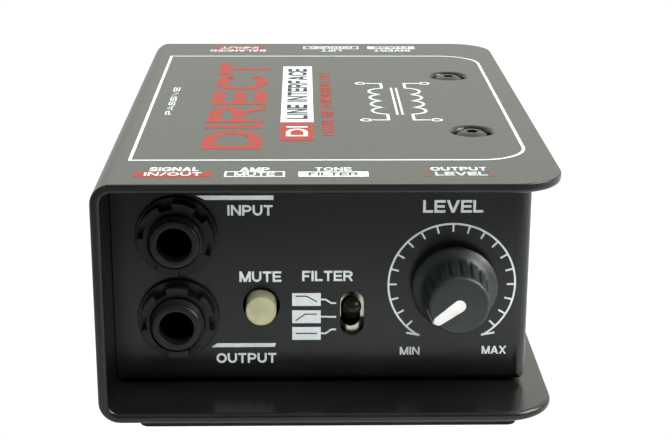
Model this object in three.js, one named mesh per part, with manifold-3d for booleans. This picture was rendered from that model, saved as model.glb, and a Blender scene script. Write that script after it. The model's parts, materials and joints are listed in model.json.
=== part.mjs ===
// A compact steel reamping / direct injection box, in millimetres, +Z up.
// Origin: centre of the footprint, at the underside of the rubber pad it stands on.
// The controls are on the front (-Y); the balanced socket and its switches are on the back (+Y).
import * as THREE from "three";
import { mergeVertices } from "three/addons/utils/BufferGeometryUtils.js";
import Module from "manifold-3d";

const wasm = await Module();
wasm.setup();

// Driving dimensions ---------------------------------------------------------------------------
const GAP = 0.3; // between pieces that would touch, or turn in one another
const FIT = 0.1; // between flat faces that lie on one another

const WIDTH = 84; // outer shell, along X
const DEPTH = 127; // outer shell, along Y
const SHELL_H = 45.7; // outer shell, along Z, without the pad
const SHELL_T = 1.9; // 14 gauge sheet
const SHELL_BEND = 4.0; // outer radius of the two folds on the left
const FREE_CORNER = 9.6; // rounded free corners of the top and bottom plates, on the right

const PAD_T = 1.1;
const PAD_W = 69.5;
const PAD_D = 124;
const PAD_CORNER = 1.8;
const PAD_HOLE_R = 4.7; // round the bottom screws

const SHEET = 1.2; // 18 gauge sheet of the inner chassis
const BEND = 3.0; // outer radius of its folds
const TAB = { reach: 5, half: 7, t: 1.5 }; // the two tabs that take the top screws
const PANEL_Y = 50; // front and back panels stand at -PANEL_Y and +PANEL_Y
const RIGHT_X = 38; // outer face of the chassis's right wall

const SCREW_X = 28.9; // case screws
const SCREW_Y = [-26, 25];
const HEAD_R = 3.35;
const SMALL_HEAD_R = 2.85; // screws of the socket and the transformer
const HEAD_H = 1.5;
const HEAD_DOME = [[1, 0.23], [0.93, 0.5], [0.78, 0.77], [0.58, 1]]; // shares of radius and height
const SHANK_R = 1.35;
const SHANK_LENGTH = 6;
const SOCKET_R = 1.25; // corner radius of the hexagon socket
const SOCKET_DEPTH = 0.9;
const DISH_R = 4.1; // pressed dish round each top screw
const DISH_FLOOR_R = 3.65;
const DISH_DEPTH = 1.7;
const DISH_BULGE = 1.3; // how far the dish stands proud under the plate
const COUNTERBORE_R = 3.7;
const COUNTERBORE_DEPTH = 0.8;

const JACK_X = -28;
const JACK_Z = { input: 33.2, output: 17.0 };
const JACK_FACE = 56; // the bushing's mouth stands at -JACK_FACE
const JACK_BACK = 24.2;
const BUSHING_R = 4.75;
const SLEEVE_BORE = 3.25; // takes a 6.35 mm plug
const SLEEVE_R = 3.5;
const SLEEVE_INSET = 3; // from the bushing's mouth to the sleeve
const MOUTH_EDGE = 0.4; // chamfer at the mouth
const JACK_HALF = { x: 8, z: 7.6 };
const NUT_R = 7.05;
const NUT_T = 2.3;
const NUT_LUGS = 6;
const LUG_SHARE = 0.62; // of the pitch of the lugs
const NOTCH_DEPTH = 1.15;
const NUT_TURN = { input: -15, output: 0 }; // degrees, as each nut was left when tightened
const WASHER_R = 7.65;
const WASHER_T = 0.9;

const KNOB_X = 23.6;
const KNOB_Z = 23.4;
const KNOB_BASE = 51.9; // the skirt's lower edge stands at -KNOB_BASE
const KNOB_H = 9.9;
const SKIRT_R = 8.05;
const SKIRT_H = 1.9; // from the skirt's lower edge to where the grip begins
const SKIRT_EDGE = [[-0.2, 0], [0, 0.4], [-0.15, 0.9]]; // rounding: past SKIRT_R, and height
const SKIRT_FOOT = 0.35; // how far the skirt's upper edge stands out from the grip
const SKIRT_WALL = 2.1;
const GRIP_R = 6.2; // at the skirt
const GRIP_TOP_R = 5.55;
const GRIP_EDGE = 0.5; // rounding at the top of the grip
const GRIP_EDGE_MIDDLE = 0.15; // how far the middle of that rounding stays in from the corner
const FLUTES = 18;
const FLUTE_R = 0.45;
const FLUTE_END = 1.2; // the flutes stop this far below the top
const FLUTE_SIDES = 8;
const POINTER_AT = -127; // degrees from twelve o'clock, clockwise seen from the front
const POINTER_R = 1.15; // half width of the pointer's round inner end
const POINTER_TIP = 0.85; // half width at the rim
const POINTER_DEPTH = 0.55;
const POINTER_RIB = 0.3; // half width of the rib down the side of the grip
const RIB_PROUD = 0.3;
const SHAFT_R = 3.0;
const SHAFT_END = 2.0; // below the top of the knob
const POT_HALF = 8;
const POT_DEPTH = 8.5;
const POT_LEG = { pitch: 5, half: 0.5, low: 0.4, high: 1.1 }; // low and high: above the case's edge
const POT_BUSHING_R = 3.6;
const POT_BUSHING_END = 53.6;
const POT_NUT_R = 5.5;
const POT_NUT_T = 1.8;
const POT_WASHER_R = 5.7;
const POT_WASHER_T = 0.5;

const MUTE_X = -12.45;
const MUTE_Z = 19.3;
const MUTE_R = 2.84;
const MUTE_EDGE = 0.25;
const MUTE_HOLE_R = 3.5;
const MUTE_FACE = 53.45; // the cap's face stands at -MUTE_FACE
const MUTE_TRAVEL = 2.5;
const MUTE_CAP_INSIDE = 1.9; // how far the cap reaches in behind the panel
const PLUNGER_HALF = 1.5;
const PLUNGER_LENGTH = 8;
const MUTE_CASE_HALF = 5;

const FILTER_X = 4.6;
const FILTER_Z = 17.55;
const FILTER_PIVOT = 45.3; // the lever turns at -FILTER_PIVOT
const FILTER_UP = 18; // degrees above the middle position
const FILTER_BALL = 2.95;
const LEVER_LENGTH = 6.2; // pivot to the centre of the tip
const LEVER_TIP = 1.7;
const LEVER_NECK = { tip: 1.3, ball: 1.05 }; // radii
const SLOT_W = 4.5;
const SLOT_H = 8.9;
const FILTER_HALF = { x: 6, z: 6.5 };
const FILTER_FRAME_BACK = 43.9;
const FILTER_CASE_BACK = 35;
const FILTER_PLATE = 0.6; // thickness of the frame's front
const FILTER_WINDOW = { w: 3.6, h: 6.0, x: -0.25 }; // in the frame's front, for the lever's neck
const FILTER_CHAMBER = { w: 6.8, h: 7.4 }; // behind it, for the ball
const FILTER_LEG = { pitch: 4, halfX: 0.6, halfZ: 0.4 };

const XLR_X = -20;
const XLR_Z = 23.4;
const XLR_FLANGE = { w: 26, h: 31, t: 2.0, corner: 2.5 };
const XLR_BARREL_R = 11.8;
const XLR_BARREL_BACK = 30; // the barrel's inner end stands at +XLR_BARREL_BACK
const XLR_WELL_R = 9.6;
const XLR_WELL_BACK = 33.6;
const XLR_INSERT_R = 7.5;
const XLR_INSERT_EDGE = 0.5;
const XLR_INSERT_PROUD = 1; // how far the insert stands out of the back panel
const XLR_SCREW = { x: 9.5, z: 12 };
const XLR_PIN_RING = 4.0; // radius of the circle of contacts
const XLR_HOLE_R = 1.65;
const XLR_CONTACT = { r: 1.35, bore: 1.0, back: 36.3, boreBack: 38, front: 50.4 };
const LATCH_W = 6.4;
const LATCH_LOW = 8.9;
const LATCH_HIGH = 11.2;
const LATCH_BACK = 40;
const LATCH_FRONT = 54.6;
const LATCH_ROOM = { back: 2, low: 1 }; // free space behind and under the latch

const SWITCH_Z = 23.4;
const SWITCH_X = { ground: 2.4, phase: 17.5 };
const SLIDER_W = 3.2;
const SLIDER_H = 3.4;
const SLIDER_TRAVEL = 3.6;
const SLIDER_DEPTH = 4;
const SLIDE_CASE = { halfX: 7, halfZ: 4, d: 7.5 };

const SEGMENTS = 32; // round parts you look at
const COARSE = 20; // screws and hidden round parts
const CURVE = 7; // steps in each quarter of the plates' free corners
const FINE = 48; // the knob
const BALL = { around: 24, along: 16 }; // segments of the toggle's ball and its pocket
const TIP = { around: 16, along: 12 }; // and of its tip
const WELD = 1e-4; // vertices closer than this are one
const PAST = 1; // how far a cutter runs past what it cuts

// Heights that follow from them.
const SHELL_LOW = PAD_T + FIT;
const SHELL_TOP = SHELL_LOW + SHELL_H;
const CHASSIS_LOW = SHELL_LOW + SHELL_T + FIT;
const CHASSIS_TOP = SHELL_TOP - SHELL_T - FIT;
const FLOOR = CHASSIS_LOW + SHEET;
const CHASSIS_LEFT = -WIDTH / 2 + SHELL_T + FIT;
const PANEL_INSIDE = PANEL_Y - SHEET;
const BOARD_Y = -JACK_BACK + GAP; // front face of the control board

// Materials ------------------------------------------------------------------------------------
const look = (color, roughness, metalness) =>
  new THREE.MeshStandardMaterial({ color, roughness, metalness });
const powderCoat = () => look(0x1d1e1e, 0.45, 0.2);
const blackRubber = () => look(0x0f0f0f, 0.9, 0);
const blackPlastic = () => look(0x1a1b1c, 0.4, 0);
const blackScrew = () => look(0x2a2b2b, 0.35, 0.8);
const nickel = () => look(0xc8c9c6, 0.25, 1);
const steel = () => look(0x9b9d9f, 0.4, 1);
const gold = () => look(0xc9a25a, 0.3, 1);
const beigePlastic = () => look(0xc3bf9a, 0.5, 0);
const whitePlastic = () => look(0xf2f2ec, 0.5, 0);
const bluePlastic = () => look(0x24436b, 0.5, 0);
const boardGreen = () => look(0x1f4a2c, 0.5, 0);

// Solids ---------------------------------------------------------------------------------------
// A closed geometry as a manifold-3d solid, with the vertices that it shares merged.
function solid(geometry) {
  const bare = new THREE.BufferGeometry();
  const flat = geometry.index ? geometry.toNonIndexed() : geometry;
  bare.setAttribute("position", flat.getAttribute("position").clone());
  const merged = mergeVertices(bare, WELD);
  const mesh = new wasm.Mesh({
    numProp: 3,
    vertProperties: merged.attributes.position.array,
    triVerts: new Uint32Array(merged.index.array),
  });
  return new wasm.Manifold(mesh);
}

function geometryOf(made) {
  const { vertProperties, triVerts } = made.getMesh();
  const geometry = new THREE.BufferGeometry();
  geometry.setAttribute("position", new THREE.BufferAttribute(vertProperties, 3));
  geometry.setIndex(new THREE.BufferAttribute(triVerts, 1));
  return geometry;
}

function named(name, made, material) {
  const mesh = new THREE.Mesh(geometryOf(made), material);
  mesh.name = name;
  return mesh;
}

const join = (first, ...rest) => rest.reduce((sum, part) => sum.add(part), first);
const cut = (first, ...rest) => rest.reduce((left, part) => left.subtract(part), first);

function block([x0, x1], [y0, y1], [z0, z1]) {
  const box = new THREE.BoxGeometry(x1 - x0, y1 - y0, z1 - z0);
  return solid(box.translate((x0 + x1) / 2, (y0 + y1) / 2, (z0 + z1) / 2));
}

// A flat outline pushed along Z, along Y (drawn as X, Z) or along X (drawn as Y, Z).
function alongZ(shape, z0, z1, curveSegments = 4) {
  const settings = { depth: z1 - z0, bevelEnabled: false, curveSegments };
  return new THREE.ExtrudeGeometry(shape, settings).translate(0, 0, z0);
}

function alongY(shape, y0, y1, curveSegments = 4) {
  return alongZ(shape, 0, y1 - y0, curveSegments).rotateX(Math.PI / 2).translate(0, y1, 0);
}

function alongX(shape, x0, x1, curveSegments = 4) {
  return alongZ(shape, 0, x1 - x0, curveSegments)
    .rotateX(Math.PI / 2)
    .rotateZ(Math.PI / 2)
    .translate(x0, 0, 0);
}

// A rod along Y or Z, centred on the axis.
const rodY = (r, y0, y1, segments = SEGMENTS) =>
  solid(new THREE.CylinderGeometry(r, r, y1 - y0, segments).translate(0, (y0 + y1) / 2, 0));
const rodZ = (r, z0, z1, segments = COARSE) =>
  solid(
    new THREE.CylinderGeometry(r, r, z1 - z0, segments)
      .rotateX(Math.PI / 2)
      .translate(0, 0, (z0 + z1) / 2),
  );

// A profile of [radius, height] points turned about Y; the winding is made to face out.
function turned(profile, segments = SEGMENTS) {
  const points = profile.map(([r, y]) => new THREE.Vector2(r, y));
  const facesOut = THREE.ShapeUtils.area(points) > 0;
  const ordered = facesOut ? points : points.slice().reverse();
  return new THREE.LatheGeometry(ordered, segments);
}

const turnedY = (profile, segments) => solid(turned(profile, segments));
const turnedZ = (profile, segments) => solid(turned(profile, segments).rotateX(Math.PI / 2));

// A rectangle whose corners have the radii [low left, low right, high right, high left].
function rounded(x0, x1, y0, y1, [lowLeft, lowRight, highRight, highLeft]) {
  const shape = new THREE.Shape();
  const corner = (x, y, r, from) => {
    if (r > 0) shape.absarc(x, y, r, from, from + Math.PI / 2, false);
    else shape.lineTo(x, y);
  };
  shape.moveTo(x0 + lowLeft, y0);
  shape.lineTo(x1 - lowRight, y0);
  corner(x1 - lowRight, y0 + lowRight, lowRight, -Math.PI / 2);
  corner(x1 - highRight, y1 - highRight, highRight, 0);
  corner(x0 + highLeft, y1 - highLeft, highLeft, Math.PI / 2);
  corner(x0 + lowLeft, y0 + lowLeft, lowLeft, Math.PI);
  return shape;
}

const evenly = (x0, x1, y0, y1, r) => rounded(x0, x1, y0, y1, [r, r, r, r]);

function obround(w, h) {
  const shape = new THREE.Shape();
  const straight = h / 2 - w / 2;
  shape.absarc(0, straight, w / 2, 0, Math.PI, false);
  shape.absarc(0, -straight, w / 2, Math.PI, 2 * Math.PI, false);
  return shape;
}

function polygon(points) {
  return new THREE.Shape(points.map(([x, y]) => new THREE.Vector2(x, y)));
}

function hexagon(cornerRadius) {
  const corners = Array.from({ length: 6 }, (_, i) => (i * Math.PI) / 3);
  return polygon(corners.map((a) => [cornerRadius * Math.cos(a), cornerRadius * Math.sin(a)]));
}

// Case -----------------------------------------------------------------------------------------
// The outline of the folded sheet, seen from the front: top, left wall and bottom in one.
function shellOutline() {
  const left = -WIDTH / 2;
  const right = WIDTH / 2;
  const inside = SHELL_BEND - SHELL_T;
  const foldX = left + SHELL_BEND;
  const highFold = SHELL_TOP - SHELL_BEND;
  const lowFold = SHELL_LOW + SHELL_BEND;
  const shape = new THREE.Shape();
  shape.moveTo(right, SHELL_TOP);
  shape.lineTo(foldX, SHELL_TOP);
  shape.absarc(foldX, highFold, SHELL_BEND, Math.PI / 2, Math.PI, false);
  shape.absarc(foldX, lowFold, SHELL_BEND, Math.PI, 1.5 * Math.PI, false);
  shape.lineTo(right, SHELL_LOW);
  shape.lineTo(right, SHELL_LOW + SHELL_T);
  shape.absarc(foldX, lowFold, inside, 1.5 * Math.PI, Math.PI, true);
  shape.absarc(foldX, highFold, inside, Math.PI, Math.PI / 2, true);
  shape.lineTo(right, SHELL_TOP - SHELL_T);
  return shape;
}

function outerShell() {
  const folded = solid(alongY(shellOutline(), -DEPTH / 2, DEPTH / 2));
  const plan = rounded(-WIDTH, WIDTH / 2, -DEPTH / 2, DEPTH / 2, [0, FREE_CORNER, FREE_CORNER, 0]);
  let shell = folded.intersect(solid(alongZ(plan, -PAST, SHELL_TOP + PAST, CURVE)));
  const bulge = SHELL_TOP - SHELL_T - DISH_BULGE;
  const wider = DISH_R - DISH_FLOOR_R;
  for (const y of SCREW_Y) {
    const boss = turnedZ([
      [0, bulge],
      [DISH_FLOOR_R + wider, bulge],
      [DISH_R + wider, bulge + DISH_BULGE],
      [DISH_R + wider, bulge + DISH_BULGE + FIT],
      [0, bulge + DISH_BULGE + FIT],
    ], SEGMENTS);
    const dish = turnedZ([
      [0, SHELL_TOP - DISH_DEPTH],
      [DISH_FLOOR_R, SHELL_TOP - DISH_DEPTH],
      [DISH_R, SHELL_TOP],
      [DISH_R, SHELL_TOP + PAST],
      [0, SHELL_TOP + PAST],
    ], SEGMENTS);
    const counterbore = rodZ(COUNTERBORE_R, SHELL_LOW - PAST, SHELL_LOW + COUNTERBORE_DEPTH);
    const hole = rodZ(SHANK_R + GAP, -PAST, SHELL_TOP + PAST);
    shell = shell.add(boss.translate([SCREW_X, y, 0]));
    for (const cutter of [dish, counterbore, hole]) {
      shell = shell.subtract(cutter.translate([SCREW_X, y, 0]));
    }
  }
  return shell;
}

function rubberPad() {
  const outline = evenly(-PAD_W / 2, PAD_W / 2, -PAD_D / 2, PAD_D / 2, PAD_CORNER);
  const holes = SCREW_Y.map((y) =>
    rodZ(PAD_HOLE_R, -PAST, PAD_T + PAST).translate([SCREW_X, y, 0]),
  );
  return cut(solid(alongZ(outline, 0, PAD_T)), ...holes);
}

// One sheet-metal box without a lid or a left wall: the walls between an outer and an inner block.
function chassisBlock(inset, left, top) {
  const right = RIGHT_X - inset;
  const y = PANEL_Y - inset;
  const low = CHASSIS_LOW + inset;
  const r = BEND - inset;
  const leftCorner = inset > 0 ? 0 : SHELL_BEND - SHELL_T + FIT;
  const front = rounded(left, right, low, top, [leftCorner, r, 0, inset > 0 ? 0 : leftCorner]);
  const plan = rounded(left, right, -y, y, [0, r, r, 0]);
  const side = rounded(-y, y, low, top, [r, r, 0, 0]);
  return solid(alongY(front, -y, y))
    .intersect(solid(alongZ(plan, low, top)))
    .intersect(solid(alongX(side, left, right)));
}

// The holes for the parts on the front panel.
function frontCutouts() {
  const y0 = -PANEL_Y - PAST;
  const y1 = -PANEL_INSIDE + PAST;
  const slot = solid(alongY(obround(SLOT_W, SLOT_H), y0, y1));
  return [
    rodY(BUSHING_R + GAP, y0, y1).translate([JACK_X, 0, JACK_Z.input]),
    rodY(BUSHING_R + GAP, y0, y1).translate([JACK_X, 0, JACK_Z.output]),
    rodY(MUTE_HOLE_R, y0, y1).translate([MUTE_X, 0, MUTE_Z]),
    rodY(POT_BUSHING_R + GAP, y0, y1).translate([KNOB_X, 0, KNOB_Z]),
    slot.translate([FILTER_X, 0, FILTER_Z]),
  ];
}

// The holes for the socket, its screws and the two slide switches on the back panel.
function backCutouts() {
  const y0 = PANEL_INSIDE - PAST;
  const y1 = PANEL_Y + PAST;
  const sliderSlot = [SLIDER_TRAVEL + SLIDER_W + 2 * GAP, SLIDER_H + 2 * GAP];
  const barrel = rodY(XLR_BARREL_R + GAP, y0, y1).translate([XLR_X, 0, XLR_Z]);
  const screws = [-1, 1].map((side) =>
    rodY(SHANK_R + GAP, y0, y1, COARSE).translate([
      XLR_X + side * XLR_SCREW.x,
      0,
      XLR_Z + side * XLR_SCREW.z,
    ]),
  );
  const slots = Object.values(SWITCH_X).map((x) =>
    block(
      [x - sliderSlot[0] / 2, x + sliderSlot[0] / 2],
      [y0, y1],
      [SWITCH_Z - sliderSlot[1] / 2, SWITCH_Z + sliderSlot[1] / 2],
    ),
  );
  return [barrel, ...screws, ...slots];
}

function innerChassis() {
  const outer = chassisBlock(0, CHASSIS_LEFT, CHASSIS_TOP);
  const inner = chassisBlock(SHEET, -WIDTH, CHASSIS_TOP + SHELL_H);
  let chassis = outer.subtract(inner);
  const tabTop = SHELL_TOP - SHELL_T - DISH_BULGE - FIT;
  for (const y of SCREW_Y) {
    const tab = block(
      [SCREW_X - TAB.reach, RIGHT_X - SHEET / 2],
      [y - TAB.half, y + TAB.half],
      [tabTop - TAB.t, tabTop],
    );
    const hole = rodZ(SHANK_R + GAP, 0, SHELL_TOP).translate([SCREW_X, y, 0]);
    chassis = chassis.add(tab).subtract(hole);
  }
  return cut(chassis, ...frontCutouts(), ...backCutouts());
}

// A button-head screw with a hexagon socket; its head's seat is at 0 and its head rises along +Z.
function buttonScrew(length, headR = HEAD_R) {
  const dome = HEAD_DOME.map(([r, h]) => [headR * r, HEAD_H * h]);
  const body = turnedZ(
    [[0, -length], [SHANK_R, -length], [SHANK_R, 0], [headR, 0], ...dome, [0, HEAD_H]],
    COARSE,
  );
  const socket = alongZ(hexagon(SOCKET_R), HEAD_H - SOCKET_DEPTH, HEAD_H + PAST);
  return body.subtract(solid(socket));
}

function caseScrews() {
  const group = new THREE.Group();
  ["front", "back"].forEach((place, i) => {
    const top = named("screw_top_" + place, buttonScrew(SHANK_LENGTH), blackScrew());
    top.position.set(SCREW_X, SCREW_Y[i], SHELL_TOP - DISH_DEPTH + FIT);
    const bottom = named("screw_bottom_" + place, buttonScrew(SHANK_LENGTH), blackScrew());
    bottom.rotation.x = Math.PI;
    bottom.position.set(SCREW_X, SCREW_Y[i], SHELL_LOW + COUNTERBORE_DEPTH - FIT);
    group.add(top, bottom);
  });
  return group;
}

// Jacks ----------------------------------------------------------------------------------------
const SPRING_T = 0.4;
const SPRING_HALF = 1.2;
const SPRING_PATH = [[5.4, -40], [5.4, -36], [2.9, -31], [4.6, -28.4]];
const SPRING_POCKET = { x: [2, 6.2], y: [-41, -27.4], half: 1.7 };

function jackBody() {
  const { x, z } = JACK_HALF;
  const mouth = -JACK_FACE;
  const case_ = block([-x, x], [-PANEL_INSIDE + GAP, -JACK_BACK], [-z, z]);
  const bushing = rodY(BUSHING_R, mouth + MOUTH_EDGE, -PANEL_INSIDE + PAST);
  const lip = turnedY([
    [0, mouth],
    [BUSHING_R - MOUTH_EDGE, mouth],
    [BUSHING_R, mouth + MOUTH_EDGE],
    [0, mouth + MOUTH_EDGE],
  ]);
  const bore = rodY(SLEEVE_BORE, mouth - PAST, -JACK_BACK - SHEET);
  const sleeveSeat = rodY(SLEEVE_R + FIT, mouth + SLEEVE_INSET - FIT, -JACK_BACK - SHEET);
  const half = SPRING_POCKET.half;
  const springPocket = block(SPRING_POCKET.x, SPRING_POCKET.y, [-half, half]);
  return cut(join(case_, bushing, lip), bore, sleeveSeat, springPocket);
}

function jackSleeve() {
  const front = -JACK_FACE + SLEEVE_INSET;
  const back = -PANEL_INSIDE + SLEEVE_INSET;
  return turnedY([
    [SLEEVE_BORE, front],
    [SLEEVE_R, front],
    [SLEEVE_R, back],
    [SLEEVE_BORE, back],
    [SLEEVE_BORE, front],
  ]);
}

function jackNut(turn) {
  const front = -PANEL_Y - WASHER_T - 2 * FIT - NUT_T;
  const outline = new THREE.Shape();
  const pitch = (2 * Math.PI) / NUT_LUGS;
  const half = (pitch * LUG_SHARE) / 2;
  const start = Math.PI / 2 + THREE.MathUtils.degToRad(turn);
  for (let i = 0; i < NUT_LUGS; i++) {
    const middle = start + i * pitch;
    outline.absarc(0, 0, NUT_R, middle - half, middle + half, false);
    outline.absarc(0, 0, NUT_R - NOTCH_DEPTH, middle + half, middle + pitch - half, false);
  }
  const ring = solid(alongY(outline, front, front + NUT_T, 2));
  return ring.subtract(rodY(BUSHING_R + GAP, front - PAST, front + NUT_T + PAST));
}

function jackWasher() {
  const back = -PANEL_Y - FIT;
  const disc = rodY(WASHER_R, back - WASHER_T, back, FINE);
  return disc.subtract(rodY(BUSHING_R + GAP, back - WASHER_T - PAST, back + PAST));
}

// A bent strip that presses on the plug's tip.
function tipSpring() {
  const near = SPRING_PATH.map(([x, y]) => [x, y]);
  const far = SPRING_PATH.map(([x, y]) => [x + SPRING_T, y]).reverse();
  return solid(alongZ(polygon([...near, ...far].reverse()), -SPRING_HALF, SPRING_HALF));
}

function jack(name, z) {
  const group = new THREE.Group();
  group.position.set(JACK_X, 0, z);
  group.add(
    named(name + "_jack_body", jackBody(), blackPlastic()),
    named(name + "_jack_sleeve", jackSleeve(), nickel()),
    named(name + "_jack_nut", jackNut(NUT_TURN[name]), blackPlastic()),
    named(name + "_jack_washer", jackWasher(), blackPlastic()),
    named(name + "_tip_spring", tipSpring(), nickel()),
  );
  return group;
}

// Level control --------------------------------------------------------------------------------
// The pointer's solid, grown by a margin for its pocket: a tapered bar across the top face and a
// rib down the side of the grip. It points along +Z, and the group turns it.
function pointerSolid(margin) {
  const top = -KNOB_BASE - KNOB_H;
  const rim = GRIP_TOP_R + margin;
  const tip = POINTER_TIP + margin;
  const bar = new THREE.Shape();
  bar.absarc(0, 0, POINTER_R + margin, Math.PI, 2 * Math.PI, false);
  bar.lineTo(tip, rim - POINTER_TIP);
  bar.quadraticCurveTo(tip, rim - FIT, 0, rim);
  bar.quadraticCurveTo(-tip, rim - FIT, -tip, rim - POINTER_TIP);
  const face = solid(alongY(bar, top - FIT / 2 - margin, top + POINTER_DEPTH + margin));
  const ribOutline = polygon([
    [-KNOB_BASE - SKIRT_H - GAP + margin, GRIP_R - 2 * GAP - margin],
    [-KNOB_BASE - SKIRT_H - GAP + margin, GRIP_R + RIB_PROUD + margin],
    [top + GRIP_EDGE - margin, GRIP_TOP_R + RIB_PROUD + margin],
    [top + FIT - margin, GRIP_TOP_R - margin],
    [top + FIT - margin, GRIP_TOP_R - 2 * GAP - margin],
  ]);
  const half = POINTER_RIB + margin;
  return face.add(solid(alongX(ribOutline, -half, half)));
}

function levelKnob() {
  const at = (h) => -KNOB_BASE - h;
  const outside = turnedY([
    [0, at(0)],
    ...SKIRT_EDGE.map(([past, h]) => [SKIRT_R + past, at(h)]),
    [GRIP_R + SKIRT_FOOT, at(SKIRT_H)],
    [GRIP_R, at(SKIRT_H + GAP)],
    [GRIP_TOP_R, at(KNOB_H - GRIP_EDGE)],
    [GRIP_TOP_R - GRIP_EDGE_MIDDLE, at(KNOB_H - GRIP_EDGE_MIDDLE)],
    [GRIP_TOP_R - GRIP_EDGE, at(KNOB_H)],
    [0, at(KNOB_H)],
  ], FINE);
  const well = rodY(SKIRT_R - SKIRT_WALL, at(SKIRT_H - FIT), at(-PAST));
  const bore = rodY(SHAFT_R + GAP, at(KNOB_H - SHAFT_END + 2 * GAP), at(-PAST));
  const flutes = [];
  const fluteLength = KNOB_H - FLUTE_END - SKIRT_H - 2 * GAP;
  for (let i = 0; i < FLUTES; i++) {
    const flute = new THREE.CylinderGeometry(FLUTE_R, FLUTE_R, fluteLength, FLUTE_SIDES);
    flute.translate(0, at(KNOB_H - FLUTE_END - fluteLength / 2), GRIP_R - FLUTE_R / 3);
    flute.rotateY(((i + 0.5) * 2 * Math.PI) / FLUTES);
    flutes.push(solid(flute));
  }
  return cut(outside, well, bore, ...flutes, pointerSolid(FIT));
}

function levelShaft() {
  return rodY(SHAFT_R, -KNOB_BASE - KNOB_H + SHAFT_END, -PANEL_INSIDE + SHAFT_END, COARSE);
}

function potBody() {
  const face = -PANEL_INSIDE + GAP;
  const half = POT_HALF;
  const can = block([-half, half], [face, face + POT_DEPTH], [-half, half]);
  const bushing = rodY(POT_BUSHING_R, -POT_BUSHING_END, face + PAST);
  const bore = rodY(SHAFT_R + GAP, -POT_BUSHING_END - PAST, face + SHAFT_END + PAST);
  const { pitch, half: legHalf, low, high } = POT_LEG;
  const legs = [-pitch, 0, pitch].map((x) =>
    block([x - legHalf, x + legHalf], [face + half, BOARD_Y - GAP], [-half + low, -half + high]),
  );
  return cut(join(can, bushing, ...legs), bore);
}

function potNut() {
  const back = -PANEL_Y - POT_WASHER_T - 2 * FIT;
  const outside = solid(alongY(hexagon(POT_NUT_R), back - POT_NUT_T, back));
  return outside.subtract(rodY(POT_BUSHING_R + GAP, back - POT_NUT_T - PAST, back + PAST));
}

function potWasher() {
  const back = -PANEL_Y - FIT;
  const disc = rodY(POT_WASHER_R, back - POT_WASHER_T, back);
  return disc.subtract(rodY(POT_BUSHING_R + GAP, back - POT_WASHER_T - PAST, back + PAST));
}

function levelControl() {
  const group = new THREE.Group();
  group.position.set(KNOB_X, 0, KNOB_Z);
  const turning = new THREE.Group();
  turning.rotation.y = THREE.MathUtils.degToRad(POINTER_AT);
  turning.add(
    named("level_knob", levelKnob(), blackPlastic()),
    named("level_pointer", pointerSolid(0), whitePlastic()),
    named("level_shaft", levelShaft(), steel()),
  );
  group.add(
    turning,
    named("level_pot_body", potBody(), steel()),
    named("level_pot_nut", potNut(), nickel()),
    named("level_pot_washer", potWasher(), nickel()),
  );
  return group;
}

// Mute button ----------------------------------------------------------------------------------
function muteButton() {
  const capBack = -PANEL_INSIDE + MUTE_CAP_INSIDE;
  const cap = turnedY([
    [0, -MUTE_FACE],
    [MUTE_R - MUTE_EDGE, -MUTE_FACE],
    [MUTE_R, -MUTE_FACE + MUTE_EDGE],
    [MUTE_R, capBack],
    [0, capBack],
  ]);
  const half = PLUNGER_HALF;
  const plungerBack = capBack + PLUNGER_LENGTH;
  const plunger = block([-half, half], [capBack + FIT, plungerBack], [-half, half]);
  const caseHalf = [-MUTE_CASE_HALF, MUTE_CASE_HALF];
  const caseFront = capBack + MUTE_TRAVEL + GAP;
  const switchCase = block(caseHalf, [caseFront, BOARD_Y - GAP], caseHalf);
  const well = block(
    [-half - GAP, half + GAP],
    [caseFront - PAST, plungerBack + MUTE_TRAVEL + GAP],
    [-half - GAP, half + GAP],
  );
  const group = new THREE.Group();
  group.position.set(MUTE_X, 0, MUTE_Z);
  group.add(
    named("mute_cap", cap, beigePlastic()),
    named("mute_plunger", plunger, whitePlastic()),
    named("mute_switch_case", switchCase.subtract(well), blackPlastic()),
  );
  return group;
}

// Filter toggle --------------------------------------------------------------------------------
// The lever stands along -Y from a ball at the pivot, and the group lifts it.
function filterLever() {
  const ball = solid(new THREE.SphereGeometry(FILTER_BALL, BALL.around, BALL.along));
  const end = solid(new THREE.SphereGeometry(LEVER_TIP, TIP.around, TIP.along));
  const tip = end.translate([0, -LEVER_LENGTH, 0]);
  const neck = turnedY([
    [0, -LEVER_LENGTH],
    [LEVER_NECK.tip, -LEVER_LENGTH],
    [LEVER_NECK.ball, -FILTER_BALL + GAP],
    [0, -FILTER_BALL + GAP],
  ], COARSE);
  return join(ball, neck, tip);
}

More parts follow.
